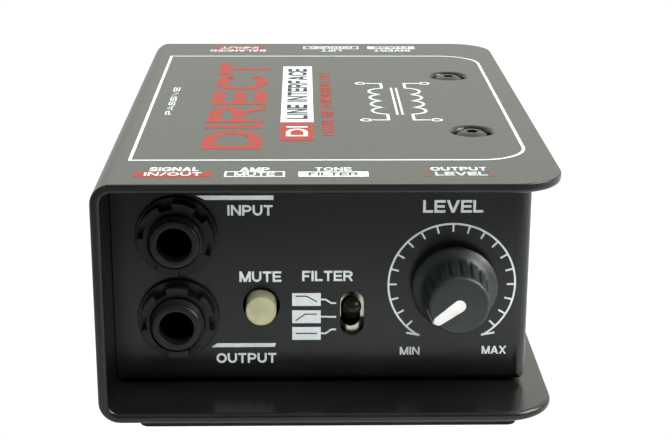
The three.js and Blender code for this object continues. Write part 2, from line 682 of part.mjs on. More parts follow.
function filterToggle() {
  const { x, z } = FILTER_HALF;
  const frontFace = -PANEL_INSIDE + GAP;
  const plateBack = frontFace + FILTER_PLATE;
  const opening = obround(FILTER_WINDOW.w, FILTER_WINDOW.h);
  const window_ = solid(alongY(opening, frontFace - PAST, plateBack + PAST));
  const room = obround(FILTER_CHAMBER.w, FILTER_CHAMBER.h);
  const chamber = solid(alongY(room, plateBack, 0));
  const bracket = block([-x, x], [frontFace, -FILTER_FRAME_BACK], [-z, z]);
  const frame = cut(bracket, window_.translate([FILTER_WINDOW.x, 0, 0]), chamber);
  const socket = solid(new THREE.SphereGeometry(FILTER_BALL + GAP, BALL.around, BALL.along));
  const pocket = socket.translate([0, -FILTER_PIVOT, 0]);
  const body = block([-x, x], [-FILTER_FRAME_BACK + FIT, -FILTER_CASE_BACK], [-z, z]);
  const { pitch, halfX, halfZ } = FILTER_LEG;
  const legs = [-pitch, 0, pitch].map((at) =>
    block([-halfX, halfX], [-FILTER_CASE_BACK - PAST, BOARD_Y - GAP], [at - halfZ, at + halfZ]),
  );
  const lever = named("filter_lever", filterLever(), blackPlastic());
  lever.position.y = -FILTER_PIVOT;
  lever.rotation.x = THREE.MathUtils.degToRad(-FILTER_UP);
  const group = new THREE.Group();
  group.position.set(FILTER_X, 0, FILTER_Z);
  group.add(
    lever,
    named("filter_frame", frame, nickel()),
    named("filter_switch_case", cut(join(body, ...legs), pocket), bluePlastic()),
  );
  return group;
}

// Balanced socket ------------------------------------------------------------------------------
function xlrHousing() {
  const { w, h, t, corner } = XLR_FLANGE;
  const face = PANEL_Y + FIT + t;
  const plate = solid(
    alongY(evenly(-w / 2, w / 2, -h / 2, h / 2, corner), PANEL_Y + FIT, face),
  );
  const barrel = rodY(XLR_BARREL_R, XLR_BARREL_BACK, face - PAST, FINE);
  const well = rodY(XLR_WELL_R, XLR_WELL_BACK, face + PAST, FINE);
  const latchSlot = block(
    [-LATCH_W / 2 - GAP, LATCH_W / 2 + GAP],
    [LATCH_BACK - LATCH_ROOM.back, face + PAST],
    [LATCH_LOW - LATCH_ROOM.low, LATCH_HIGH + GAP],
  );
  const screwHoles = [-1, 1].map((side) =>
    rodY(SHANK_R + GAP, LATCH_BACK, face + PAST, COARSE).translate([
      side * XLR_SCREW.x,
      0,
      side * XLR_SCREW.z,
    ]),
  );
  return cut(plate.add(barrel), well, latchSlot, ...screwHoles);
}

// The three contacts stand in a triangle, one of them low in the middle.
const contactPlaces = [90, 210, 330].map((degrees) => {
  const angle = THREE.MathUtils.degToRad(degrees + 180);
  return [XLR_PIN_RING * Math.cos(angle), XLR_PIN_RING * Math.sin(angle)];
});

function xlrInsert() {
  const front = PANEL_Y + XLR_INSERT_PROUD;
  const back = XLR_WELL_BACK + GAP;
  const edge = XLR_INSERT_EDGE;
  const body = turnedY([
    [0, back],
    [XLR_INSERT_R, back],
    [XLR_INSERT_R, front - edge],
    [XLR_INSERT_R - edge, front],
    [0, front],
  ]);
  const holes = contactPlaces.map(([x, z]) =>
    rodY(XLR_HOLE_R, XLR_CONTACT.back - GAP, front + PAST, COARSE).translate([x, 0, z]),
  );
  return cut(body, ...holes);
}

function xlrContact() {
  const { r, bore, back, boreBack, front } = XLR_CONTACT;
  return turnedY([
    [0, back],
    [r, back],
    [r, front],
    [bore, front],
    [bore, boreBack],
    [0, boreBack],
  ], COARSE);
}

function xlrLatch() {
  const half = LATCH_W / 2;
  return block([-half, half], [LATCH_BACK, LATCH_FRONT], [LATCH_LOW, LATCH_HIGH]);
}

function xlrScrew() {
  return solid(geometryOf(buttonScrew(SHANK_LENGTH, SMALL_HEAD_R)).rotateX(-Math.PI / 2));
}

function balancedSocket() {
  const group = new THREE.Group();
  group.position.set(XLR_X, 0, XLR_Z);
  group.add(
    named("xlr_housing", xlrHousing(), blackPlastic()),
    named("xlr_insert", xlrInsert(), blackPlastic()),
    named("xlr_latch", xlrLatch(), nickel()),
  );
  contactPlaces.forEach(([x, z], i) => {
    const contact = named("xlr_contact_" + (i + 1), xlrContact(), gold());
    contact.position.set(x, 0, z);
    group.add(contact);
  });
  ["low", "high"].forEach((place, i) => {
    const side = 2 * i - 1;
    const screw = named("xlr_screw_" + place, xlrScrew(), blackScrew());
    const face = PANEL_Y + XLR_FLANGE.t + 2 * FIT;
    screw.position.set(side * XLR_SCREW.x, face, side * XLR_SCREW.z);
    group.add(screw);
  });
  return group;
}

// Slide switches on the back -------------------------------------------------------------------
function slideSwitch(name, x) {
  const front = PANEL_INSIDE - GAP;
  const reach = (SLIDER_TRAVEL + SLIDER_W) / 2;
  const low = SLIDER_H / 2;
  const well = block(
    [-reach - GAP, reach + GAP],
    [front - SLIDER_DEPTH, front + PAST],
    [-low - GAP, low + GAP],
  );
  const { halfX, halfZ, d } = SLIDE_CASE;
  const body = block([-halfX, halfX], [front - d, front], [-halfZ, halfZ]).subtract(well);
  const slider = block(
    [-SLIDER_W / 2, SLIDER_W / 2],
    [front - SLIDER_DEPTH + GAP, PANEL_Y - GAP],
    [-low, low],
  );
  const moving = named(name + "_slider", slider, blackPlastic());
  moving.position.x = -SLIDER_TRAVEL / 2;
  const group = new THREE.Group();
  group.position.set(x, 0, SWITCH_Z);
  group.add(moving, named(name + "_switch_case", body, steel()));
  return group;
}

// Inside ---------------------------------------------------------------------------------------
const CAN_R = 12;
const CAN_H = 27;
const CAN_EDGE = 1;
const CAN_X = 10;
const CAN_Y = 8;
const CAN_BASE = { w: 40, d: 24, t: 1.6 };
const CAN_SCREW_X = 16;
const BOARD = { left: -37.5, right: 34, t: 1.6, low: 1, high: 3.5 };

function controlBoard() {
  const { left, right, t, low, high } = BOARD;
  return block([left, right], [BOARD_Y, BOARD_Y + t], [FLOOR + low, CHASSIS_TOP - high]);
}

function transformer() {
  const { w, d, t } = CAN_BASE;
  const group = new THREE.Group();
  group.position.set(CAN_X, CAN_Y, FLOOR + FIT);
  const plate = block([-w / 2, w / 2], [-d / 2, d / 2], [0, t]);
  const holes = [-1, 1].map((side) =>
    rodZ(SHANK_R + GAP, -PAST, t + PAST).translate([side * CAN_SCREW_X, 0, 0]),
  );
  const can = turnedZ([
    [0, t + FIT],
    [CAN_R, t + FIT],
    [CAN_R, t + CAN_H - CAN_EDGE],
    [CAN_R - CAN_EDGE, t + CAN_H],
    [0, t + CAN_H],
  ], SEGMENTS);
  group.add(
    named("transformer_base", cut(plate, ...holes), steel()),
    named("transformer_can", can, nickel()),
  );
  ["left", "right"].forEach((place, i) => {
    const screw = named("transformer_screw_" + place, buttonScrew(t, SMALL_HEAD_R), steel());
    screw.position.set((2 * i - 1) * CAN_SCREW_X, 0, t + FIT);
    group.add(screw);
  });
  return group;
}

// Assembly -------------------------------------------------------------------------------------
const box = new THREE.Group();
box.add(
  named("outer_shell", outerShell(), powderCoat()),
  named("inner_chassis", innerChassis(), powderCoat()),
  named("rubber_pad", rubberPad(), blackRubber()),
  named("control_board", controlBoard(), boardGreen()),
  caseScrews(),
  jack("input", JACK_Z.input),
  jack("output", JACK_Z.output),
  levelControl(),
  muteButton(),
  filterToggle(),
  balancedSocket(),
  slideSwitch("ground", SWITCH_X.ground),
  slideSwitch("phase", SWITCH_X.phase),
  transformer(),
);

export default box;
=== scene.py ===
import json
import math

import bmesh
import bpy
from mathutils import Matrix, Vector


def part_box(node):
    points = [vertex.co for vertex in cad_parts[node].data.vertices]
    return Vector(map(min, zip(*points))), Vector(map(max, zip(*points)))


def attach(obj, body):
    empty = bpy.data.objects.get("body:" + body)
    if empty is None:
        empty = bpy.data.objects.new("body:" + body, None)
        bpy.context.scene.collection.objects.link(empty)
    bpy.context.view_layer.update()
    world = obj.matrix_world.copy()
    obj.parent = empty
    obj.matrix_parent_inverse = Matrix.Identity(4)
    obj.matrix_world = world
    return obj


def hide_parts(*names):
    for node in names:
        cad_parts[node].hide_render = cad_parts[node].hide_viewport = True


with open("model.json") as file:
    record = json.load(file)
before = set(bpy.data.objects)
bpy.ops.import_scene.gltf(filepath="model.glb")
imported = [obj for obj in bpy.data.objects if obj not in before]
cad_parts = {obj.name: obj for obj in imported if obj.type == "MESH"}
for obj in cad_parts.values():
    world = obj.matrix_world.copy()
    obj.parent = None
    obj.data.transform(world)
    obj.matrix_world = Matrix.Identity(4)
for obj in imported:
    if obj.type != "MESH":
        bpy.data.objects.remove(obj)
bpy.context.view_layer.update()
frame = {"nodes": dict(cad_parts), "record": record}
NODES = frame["nodes"]
MM = 0.001

# The camera, in millimetres and radians: it looks along +Y, a little to the right and down.
CAMERA_AT = Vector((-4.70, -317.11, 121.30))
CAMERA_YAW = 0.02316
CAMERA_PITCH = 0.30888
CAMERA_ROLL = 0.00477
CAMERA_LENS = 81.34
SENSOR = 36.0

# Places that the looks share with the frame, in millimetres.
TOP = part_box("outer_shell")[1].z / MM
PANEL_Y = -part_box("inner_chassis")[0].y / MM
KNOB_LOW, KNOB_HIGH = (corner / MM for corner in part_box("level_knob"))
KNOB_BASE = -KNOB_HIGH.y
KNOB_H = KNOB_HIGH.y - KNOB_LOW.y
POINTER_AT = -127.0  # degrees clockwise from the top, seen from the front
PAINT_ROOM = 0.06  # the shell's top is lowered by this, so that its print stays in the frame's box
PAINT = 0.025  # thickness of one layer of ink
LIFT = 0.0015  # each further stroke of a letter stands this much higher than the one it crosses

LEVER_PIVOT = next(
    Vector(joint["pos_m"]) / MM
    for joint in frame["record"]["behaviour"]["joints"]
    if joint["name"] == "filter_flip"
)

# Light. Places and sizes are in millimetres, powers in watts, the rest is brightness.
SEEN_WHITE = 1.1  # of the paper and the backdrop, to the camera
WORLD_FRONT, WORLD_BACK = 0.08, 0.97
FRONT_TO_BACK = (-0.6, 0.6)  # where the backdrop changes between them, along a unit ball's Y
WORLD_LOW, WORLD_HIGH = 0.74, 1.56  # multiplies the above, low and high on the backdrop
LOW_TO_HIGH = (0.16, 0.33)  # where it changes between them, along a unit ball's Z
WORLD_TINT = (0.93, 0.957, 0.86, 1.0)
OVERHEAD_AT = (350, -550, 1250)
OVERHEAD_TOWARDS = (0, 0, 0)
OVERHEAD_SIZE = 1300
OVERHEAD_POWER = 40.0
SIDE_AT = (540, -160, 420)
SIDE_TOWARDS = (0, -50, 25)
SIDE_SIZE = 400
SIDE_POWER = 5.0
FLOOR_FAR, FLOOR_NEAR = 0.27, 0.93
FAR_TO_NEAR = (-190, -70)  # along Y, in front of the object
FLOOR_LEFT, FLOOR_RIGHT = 0.8, 1.2  # multiplies the above
LEFT_TO_RIGHT = (-60, 60)
FLOOR_TINT = (0.95, 1.0, 0.97, 1.0)
FLOOR_REACH = 6000


# Materials ------------------------------------------------------------------------------------
def principled(name, color, roughness, metallic=0.0, specular=0.5):
    mat = bpy.data.materials.new(name)
    mat.use_nodes = True
    bsdf = mat.node_tree.nodes["Principled BSDF"]
    bsdf.inputs["Base Color"].default_value = (*color, 1.0)
    bsdf.inputs["Roughness"].default_value = roughness
    bsdf.inputs["Metallic"].default_value = metallic
    bsdf.inputs["Specular IOR Level"].default_value = specular
    return mat


def noise_of(mat, size_mm, detail, stretch=(1.0, 1.0, 1.0)):
    """A noise whose features are about size_mm across, in the object's own coordinates."""
    tree = mat.node_tree
    coords = tree.nodes.new("ShaderNodeTexCoord")
    mapping = tree.nodes.new("ShaderNodeMapping")
    texture = tree.nodes.new("ShaderNodeTexNoise")
    mapping.inputs["Scale"].default_value = stretch
    texture.inputs["Scale"].default_value = 1.0 / (size_mm * MM)
    texture.inputs["Detail"].default_value = detail
    tree.links.new(coords.outputs["Object"], mapping.inputs["Vector"])
    tree.links.new(mapping.outputs["Vector"], texture.inputs["Vector"])
    return texture.outputs["Fac"]


def vary_color(mat, fac, dark, light, low=0.35, high=0.65):
    """Colours the surface by fac: dark at low and under it, light at high and over it."""
    tree = mat.node_tree
    ramp = tree.nodes.new("ShaderNodeValToRGB")
    ramp.color_ramp.elements[0].position = low
    ramp.color_ramp.elements[0].color = (*dark, 1.0)
    ramp.color_ramp.elements[1].position = high
    ramp.color_ramp.elements[1].color = (*light, 1.0)
    tree.links.new(fac, ramp.inputs["Fac"])
    tree.links.new(ramp.outputs["Color"], tree.nodes["Principled BSDF"].inputs["Base Color"])


NOISE_LOW, NOISE_HIGH = 0.3, 0.7  # nearly all of a noise lies between them


def vary_roughness(mat, fac, smooth, rough):
    tree = mat.node_tree
    spread = tree.nodes.new("ShaderNodeMapRange")
    spread.inputs["From Min"].default_value = NOISE_LOW
    spread.inputs["From Max"].default_value = NOISE_HIGH
    spread.inputs["To Min"].default_value = smooth
    spread.inputs["To Max"].default_value = rough
    tree.links.new(fac, spread.inputs["Value"])
    tree.links.new(spread.outputs["Result"], tree.nodes["Principled BSDF"].inputs["Roughness"])


def add_bump(mat, fac, height_mm, strength):
    tree = mat.node_tree
    bump = tree.nodes.new("ShaderNodeBump")
    bump.inputs["Strength"].default_value = strength
    bump.inputs["Distance"].default_value = height_mm * MM
    tree.links.new(fac, bump.inputs["Height"])
    tree.links.new(bump.outputs["Normal"], tree.nodes["Principled BSDF"].inputs["Normal"])


def graded(tree, value, low, high, start, end):
    """A number that goes smoothly from start to end as value goes from low to high."""
    spread = tree.nodes.new("ShaderNodeMapRange")
    spread.interpolation_type = "SMOOTHSTEP"
    spread.inputs["From Min"].default_value = low
    spread.inputs["From Max"].default_value = high
    spread.inputs["To Min"].default_value = start
    spread.inputs["To Max"].default_value = end
    tree.links.new(value, spread.inputs["Value"])
    return spread.outputs["Result"]


COAT_DARK = (0.0054, 0.0059, 0.0056)
COAT_LIGHT = (0.0072, 0.0079, 0.0075)


def powder_coat():
    """Satin black with a faint grain and cloudy patches."""
    mat = principled("satin_powder_coat", (0.006, 0.006, 0.006), roughness=0.4)
    vary_color(mat, noise_of(mat, size_mm=9.0, detail=5.0), COAT_DARK, COAT_LIGHT)
    vary_roughness(mat, noise_of(mat, size_mm=1.5, detail=4.0), smooth=0.23, rough=0.27)
    add_bump(mat, noise_of(mat, size_mm=0.5, detail=2.0), height_mm=0.004, strength=0.3)
    return mat


def shade_of(color, share):
    return tuple(min(1.0, share * c) for c in color)


def moulded_plastic(name, color, roughness, specular=0.4):
    mat = principled(name, color, roughness, specular=specular)
    patches = noise_of(mat, size_mm=3.0, detail=4.0)
    vary_color(mat, patches, shade_of(color, 0.86), shade_of(color, 1.1))
    gloss = noise_of(mat, size_mm=1.2, detail=3.0)
    vary_roughness(mat, gloss, smooth=roughness - 0.05, rough=roughness + 0.07)
    add_bump(mat, noise_of(mat, size_mm=0.3, detail=2.0), height_mm=0.006, strength=0.5)
    return mat


def plated_metal(name, color, roughness, stretch=(1.0, 1.0, 1.0)):
    mat = principled(name, color, roughness, metallic=1.0)
    patches = noise_of(mat, size_mm=2.0, detail=5.0)
    vary_color(mat, patches, shade_of(color, 0.8), color, low=0.25, high=0.6)
    gloss = noise_of(mat, size_mm=0.6, detail=4.0, stretch=stretch)
    vary_roughness(mat, gloss, smooth=roughness * 0.7, rough=roughness * 1.5)
    grain = noise_of(mat, size_mm=0.35, detail=3.0, stretch=stretch)
    add_bump(mat, grain, height_mm=0.003, strength=0.4)
    return mat


# The painted shade on the toggle's plate, in millimetres from the lever's pivot.
PLATE_PAINTED_SHADE = (0.02, 0.019, 0.015, 1.0)
PAINTED_SHADE_LEFT = (-1.3, -0.7)  # along X, fades out
PAINTED_SHADE_RIGHT = (1.0, 1.5)  # along X, comes back
PAINTED_SHADE_UP = (-1.4, -0.7)  # along Z, fades out


def toggle_plate():
    """Warm plating with painted shade below the lever's pivot, except in the middle, which keeps the
    plate's own colour.
    """
    mat = plated_metal("warm_nickel_plate", (0.84, 0.80, 0.64), 0.26)
    tree = mat.node_tree
    base = tree.nodes["Principled BSDF"].inputs["Base Color"]
    bright = base.links[0].from_socket
    coords = tree.nodes.new("ShaderNodeTexCoord")
    split = tree.nodes.new("ShaderNodeSeparateXYZ")
    sides = tree.nodes.new("ShaderNodeMath")
    sides.operation = "ADD"
    # painted shade: darkens the plate below the pivot, except in the middle
    painted_shade = tree.nodes.new("ShaderNodeMath")
    painted_shade.operation = "MULTIPLY"
    mix = tree.nodes.new("ShaderNodeMix")
    mix.data_type = "RGBA"
    x, z = LEVER_PIVOT.x, LEVER_PIVOT.z
    left = graded(tree, split.outputs["X"], *((x + d) * MM for d in PAINTED_SHADE_LEFT), 1.0, 0.0)
    right = graded(tree, split.outputs["X"], *((x + d) * MM for d in PAINTED_SHADE_RIGHT), 0.0, 1.0)
    low = graded(tree, split.outputs["Z"], *((z + d) * MM for d in PAINTED_SHADE_UP), 1.0, 0.0)
    tree.links.new(coords.outputs["Object"], split.inputs["Vector"])
    tree.links.new(left, sides.inputs[0])
    tree.links.new(right, sides.inputs[1])
    tree.links.new(sides.outputs["Value"], painted_shade.inputs[0])
    tree.links.new(low, painted_shade.inputs[1])
    tree.links.new(painted_shade.outputs["Value"], mix.inputs["Factor"])
    tree.links.new(bright, mix.inputs["A"])
    mix.inputs["B"].default_value = PLATE_PAINTED_SHADE
    tree.links.new(mix.outputs["Result"], base)
    return mat


RUBBER_DARK = (0.018, 0.019, 0.018)
RUBBER_LIGHT = (0.034, 0.035, 0.033)


def pad_rubber():
    """Dull rubber with a coarse grain."""
    mat = principled("pad_rubber", (0.025, 0.025, 0.024), roughness=0.8, specular=0.25)
    vary_color(mat, noise_of(mat, size_mm=1.5, detail=5.0), RUBBER_DARK, RUBBER_LIGHT)
    vary_roughness(mat, noise_of(mat, size_mm=4.0, detail=3.0), smooth=0.7, rough=0.9)
    add_bump(mat, noise_of(mat, size_mm=0.25, detail=3.0), height_mm=0.04, strength=0.6)
    return mat


def ink(name, color):
    """Screen-printed ink, a little thinner in places."""
    mat = principled(name, color, roughness=0.5, specular=0.2)
    vary_color(mat, noise_of(mat, size_mm=0.6, detail=3.0), shade_of(color, 0.93), color)
    vary_roughness(mat, noise_of(mat, size_mm=0.8, detail=3.0), smooth=0.44, rough=0.56)
    add_bump(mat, noise_of(mat, size_mm=0.2, detail=2.0), height_mm=0.003, strength=0.4)
    return mat


COAT = powder_coat()
PAD = pad_rubber()
JACK_PLASTIC = moulded_plastic("jack_nylon", (0.006, 0.0066, 0.0075), 0.32, specular=0.38)
LEVER_PLASTIC = moulded_plastic("lever_plastic", (0.006, 0.006, 0.005), 0.3, specular=0.4)
KNOB_PLASTIC = moulded_plastic("knob_plastic", (0.0118, 0.0155, 0.016), 0.44, specular=0.7)
SOCKET_PLASTIC = moulded_plastic("socket_plastic", (0.014, 0.014, 0.015), 0.42)
BEIGE = moulded_plastic("beige_plastic", (0.365, 0.355, 0.218), 0.45, specular=0.4)
WHITE = moulded_plastic("white_plastic", (0.58, 0.58, 0.57), 0.45)
BLUE = moulded_plastic("blue_plastic", (0.004, 0.008, 0.02), 0.4)
BOARD = moulded_plastic("solder_mask", (0.02, 0.09, 0.03), 0.35)
NICKEL = plated_metal("nickel_plate", (0.74, 0.73, 0.70), 0.14)
TOGGLE_PLATE = toggle_plate()
STEEL = plated_metal("plain_steel", (0.50, 0.50, 0.51), 0.32, (1.0, 1.0, 8.0))
GOLD = plated_metal("gold_plate", (0.78, 0.56, 0.26), 0.2)
BLACK_STEEL = plated_metal("black_oxide", (0.085, 0.087, 0.084), 0.36)
WHITE_INK = ink("white_ink", (0.62, 0.67, 0.69))
RED_INK = ink("red_ink", (0.27, 0.032, 0.024))
DARK_INK = ink("dark_ink", (0.02, 0.02, 0.02))

SLOT_LOOKS = {
    "powder_coat": COAT,
    "pad_rubber": PAD,
    "black_steel": BLACK_STEEL,
    "black_plastic": JACK_PLASTIC,
    "nickel": NICKEL,
    "steel": STEEL,
    "gold": GOLD,
    "beige_plastic": BEIGE,
    "white_plastic": WHITE,
    "blue_plastic": BLUE,
    "board": BOARD,
}


def dress_nodes():
    slots = {part["node"]: part["material_slot"] for part in frame["record"]["subparts"]}
    for name, node in NODES.items():
        node.data.materials.clear()
        node.data.materials.append(SLOT_LOOKS[slots[name]])


# Mesh tools -----------------------------------------------------------------------------------
SAME_POINT = 0.0005  # points this close, in millimetres, become one
NO_LENGTH = 0.0001  # edges shorter than this, in millimetres, are closed up
FLAT_ANGLE = 0.5  # faces within this many degrees become one
EDGE_ANGLE = 35.0  # degrees from which an edge counts as one


def piece(name, bm, body, material, smooth_angle=EDGE_ANGLE):
    """A new object from a bmesh in metres; it takes the given finish and rides on a body."""
    bmesh.ops.recalc_face_normals(bm, faces=bm.faces)
    mesh = bpy.data.meshes.new(name)
    bm.to_mesh(mesh)
    bm.free()
    mesh.materials.append(material)
    mesh.shade_smooth()
    mesh.set_sharp_from_angle(angle=math.radians(smooth_angle))
    made = bpy.data.objects.new(name, mesh)
    bpy.context.scene.collection.objects.link(made)
    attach(made, body)
    return made


def bevel(made, width_mm, segments):
    modifier = made.modifiers.new("edges", "BEVEL")
    modifier.width = width_mm * MM
    modifier.segments = segments
    modifier.limit_method = "ANGLE"
    modifier.angle_limit = math.radians(EDGE_ANGLE)
    modifier.harden_normals = True
    return modifier


def welded(node):
    """The node's mesh as a bmesh, with its split vertices joined and its flat faces whole."""
    source = NODES[node].data
    bm = bmesh.new()
    points = [bm.verts.new(v.co) for v in source.vertices]
    for polygon in source.polygons:
        bm.faces.new([points[i] for i in polygon.vertices])
    bmesh.ops.remove_doubles(bm, verts=bm.verts, dist=SAME_POINT * MM)
    flat = math.radians(FLAT_ANGLE)
    bmesh.ops.dissolve_limit(bm, angle_limit=flat, verts=bm.verts, edges=bm.edges)
    return bm


def close_up(bm):
    """Joins points that lie on each other and takes out edges without length."""
    bmesh.ops.remove_doubles(bm, verts=bm.verts, dist=SAME_POINT * MM)
    bmesh.ops.dissolve_degenerate(bm, dist=NO_LENGTH * MM, edges=bm.edges)


def refined(node, body, material, width_mm, segments=2):
    """A copy of a frame piece with rounded edges and smooth shading, in place of it."""
    made = piece(node + "_fine", welded(node), body, material)
    bevel(made, width_mm, segments)
    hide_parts(node)
    return made


def join_rings(bm, rings):
    """Faces between rings of points that go round an axis; points on the axis become one."""
    count = len(rings[0])
    for k, here in enumerate(rings):
        there = rings[(k + 1) % len(rings)]
        for i in range(count):
            j = (i + 1) % count
            bm.faces.new((here[i], here[j], there[j], there[i]))
    close_up(bm)


def quarter(steps):
    """Cosines and sines of the angles from 0 to 90 degrees."""
    turns = [math.pi / 2 * i / steps for i in range(steps + 1)]
    return [(math.cos(a), math.sin(a)) for a in turns]


def revolve(bm, profile, segments, to_place):
    """Turns (radius, height) points about an axis; the profile closes on itself."""
    rings = []
    for k in range(segments):
        turn = 2.0 * math.pi * k / segments
        ring = [
            bm.verts.new(to_place(r * math.cos(turn), r * math.sin(turn), h) * MM)
            for r, h in profile
        ]
        rings.append(ring)
    join_rings(bm, rings)


def outwards(x, z):
    """Places a turned profile on an axis along -Y through (x, z): height runs to the front."""
    return lambda u, v, h: Vector((x + u, -h, z + v))


# Print ----------------------------------------------------------------------------------------
def on_front(u, v, w):
    return Vector((u, -PANEL_Y - w, v)) * MM


def on_top(u, v, w):
    return Vector((u, v, TOP - PAINT_ROOM + w)) * MM


def prism(bm, rims, strips, place, layer, lift):
    """A thin closed body of ink: rims are its outlines, strips the flat faces between them."""
    low = (layer - 0.5) * PAINT
    high = (layer + 1) * PAINT + lift
    bottom, top = [], []
    for outline in rims:
        bottom.append([bm.verts.new(place(u, v, low)) for u, v in outline])
        top.append([bm.verts.new(place(u, v, high)) for u, v in outline])
    for strip in strips:
        bm.faces.new([bottom[k][i] for k, i in strip])
        bm.faces.new([top[k][i] for k, i in strip])
    for under, over in zip(bottom, top):
        for i in range(len(under)):
            j = (i + 1) % len(under)
            bm.faces.new((under[i], under[j], over[j], over[i]))


def slab(bm, outline, place, layer=0, lift=0.0):
    prism(bm, [outline], [[(0, i) for i in range(len(outline))]], place, layer, lift)


SHARPEST = 0.3  # keeps the mitre of a very sharp corner from running far out


def path(bm, place, points, width, layer=0, closed=False, lift=0.0):
    """A ribbon of even width along points, with mitred corners."""
    points = [Vector(p) for p in points]
    count = len(points)
    left, right = [], []
    for i, p in enumerate(points):
        arms = []
        if i > 0 or closed:
            arms.append((p - points[i - 1]).normalized())
        if i < count - 1 or closed:
            arms.append((points[(i + 1) % count] - p).normalized())
        along = sum(arms, Vector((0.0, 0.0))).normalized()
        across = Vector((-along.y, along.x))
        reach = width / 2 / max(SHARPEST, abs(along.dot(arms[0])))
        left.append(p + across * reach)
        right.append(p - across * reach)
    if closed:
        strips = []
        for i in range(count):
            j = (i + 1) % count
            strips.append([(0, i), (0, j), (1, j), (1, i)])
        prism(bm, [left, right], strips, place, layer, lift)
        return
    last = 2 * count - 1
    strips = [[(0, i), (0, i + 1), (0, last - i - 1), (0, last - i)] for i in range(count - 1)]
    prism(bm, [left + right[::-1]], strips, place, layer, lift)


def arc_points(cx, cy, r, start, end, steps):
    """Points on a circle; angles are degrees clockwise from the top."""
    turns = [math.radians(start + (end - start) * i / steps) for i in range(steps + 1)]
    return [(cx + r * math.sin(a), cy + r * math.cos(a)) for a in turns]


def square_points(x0, y0, x1, y1):
    return [(x0, y0), (x1, y0), (x1, y1), (x0, y1)]


def bar(bm, place, box):
    slab(bm, square_points(*box), place)


def rounded_points(x0, y0, x1, y1, radii, steps):
    """A rectangle's outline with its own radius at [low left, low right, high right, high left]."""
    corners = [(x0, y0, 1, 1, 180), (x1, y0, -1, 1, 270), (x1, y1, -1, -1, 0), (x0, y1, 1, -1, 90)]
    points = []
    for (x, y, sx, sy, start), r in zip(corners, radii):
        if r == 0:
            points.append((x, y))
            continue
        for i in range(steps + 1):
            a = math.radians(start + 90.0 * i / steps)
            points.append((x + sx * r + r * math.cos(a), y + sy * r + r * math.sin(a)))
    return points


# Plain block capitals. Each has its width in proportion to the others, then its strokes on a unit
# square that the middle of a stroke can reach: "line" and "soft" run through their points, soft
# with rounded corners; "ring" closes on itself; "leg" is a diagonal with level ends; "post" is
# upright, over the full height. A corner with a third number, 0, stays sharp.
CAPITALS = {
    "A": (0.80, [("leg", (0, 0), (0.5, 1)), ("leg", (1, 0), (0.5, 1)), ("line", (0.2, 0.25), (0.8, 0.25))]),
    "B": (0.72, [
        ("ring", (0, 0, 0), (0, 0.53, 0), (1, 0.53), (1, 0)),
        ("ring", (0, 0.53, 0), (0, 1, 0), (0.93, 1), (0.93, 0.53)),
    ]),
    "C": (0.76, [("soft", (1, 0.70), (1, 1), (0, 1), (0, 0), (1, 0), (1, 0.30))]),
    "D": (0.74, [("ring", (0, 0, 0), (0, 1, 0), (1, 1), (1, 0))]),
    "E": (0.66, [("line", (1.18, 1), (0, 1), (0, 0), (1.18, 0)), ("line", (0, 0.5), (1.08, 0.5))]),
    "F": (0.62, [("line", (1.18, 1), (0, 1), (0, -0.12)), ("line", (0, 0.48), (1.0, 0.48))]),
    "G": (0.80, [
        ("soft", (1, 0.72), (1, 1), (0, 1), (0, 0), (1, 0), (1, 0.3), (1, 0.42, 0), (0.55, 0.42, 0)),
    ]),
    "H": (0.74, [("post", 0), ("post", 1), ("line", (0, 0.5), (1, 0.5))]),
    "I": (0.20, [("post", 0.5)]),
    "K": (0.78, [("post", 0), ("leg", (0.08, 0.42), (1, 1)), ("leg", (1, 0), (0.42, 0.58))]),
    "L": (0.60, [("line", (0, 1.12), (0, 0), (1.2, 0))]),
    "M": (0.88, [("post", 0), ("post", 1), ("leg", (0.5, 0), (0, 1)), ("leg", (0.5, 0), (1, 1))]),
    "N": (0.76, [("post", 0), ("post", 1), ("leg", (1, 0), (0, 1))]),
    "O": (0.82, [("ring", (0, 0), (0, 1), (1, 1), (1, 0))]),
    "P": (0.70, [("post", 0), ("ring", (0, 0.42, 0), (0, 1, 0), (1, 1), (1, 0.42))]),
    "R": (0.76, [
        ("post", 0),
        ("ring", (0, 0.46, 0), (0, 1, 0), (0.95, 1), (0.95, 0.46)),
        ("leg", (1, 0), (0.55, 0.5)),
    ]),
    "S": (0.72, [
        ("soft", (0.97, 0.76), (0.97, 1), (0.03, 1), (0.03, 0.53), (1, 0.53), (1, 0), (0, 0), (0, 0.24)),
    ]),
    "T": (0.70, [("line", (-0.12, 1), (1.12, 1)), ("post", 0.5)]),
    "U": (0.74, [("soft", (0, 1.12), (0, 0), (1, 0), (1, 1.12))]),
    "V": (0.78, [("leg", (0.5, 0), (0, 1)), ("leg", (0.5, 0), (1, 1))]),
    "X": (0.78, [("leg", (0, 0), (1, 1)), ("leg", (1, 0), (0, 1))]),
    "/": (0.46, [("leg", (0, 0), (1, 1))]),
}
SPACE = 0.34  # in the same proportion, like the gap between two letters
LETTER_GAP = 0.08
WEIGHT = 0.2  # thickness of a stroke, as a share of the letter's height
LEG_HALF = 0.56  # half the width of a leg's level end, as a share of that thickness
CORNER_STEPS = 5
SAME_PLACE = 0.001


def softened(corners, reach):
    """The path with each corner rounded to reach, or less where its neighbours are close."""
    count = len(corners)
    points = []
    for i, corner in enumerate(corners):
        at = Vector(corner[:2])
        before = Vector(corners[i - 1][:2]) - at
        after = Vector(corners[(i + 1) % count][:2]) - at
        if len(corner) > 2:
            points.append(at)
            continue
        start = before.normalized() * min(reach, before.length / 2)
        end = after.normalized() * min(reach, after.length / 2)
        for step in range(CORNER_STEPS + 1):
            a = math.pi / 2 * step / CORNER_STEPS
            points.append(at + start * (1 - math.sin(a)) + end * (1 - math.cos(a)))
    return [p for i, p in enumerate(points) if (p - points[i - 1]).length > SAME_PLACE]


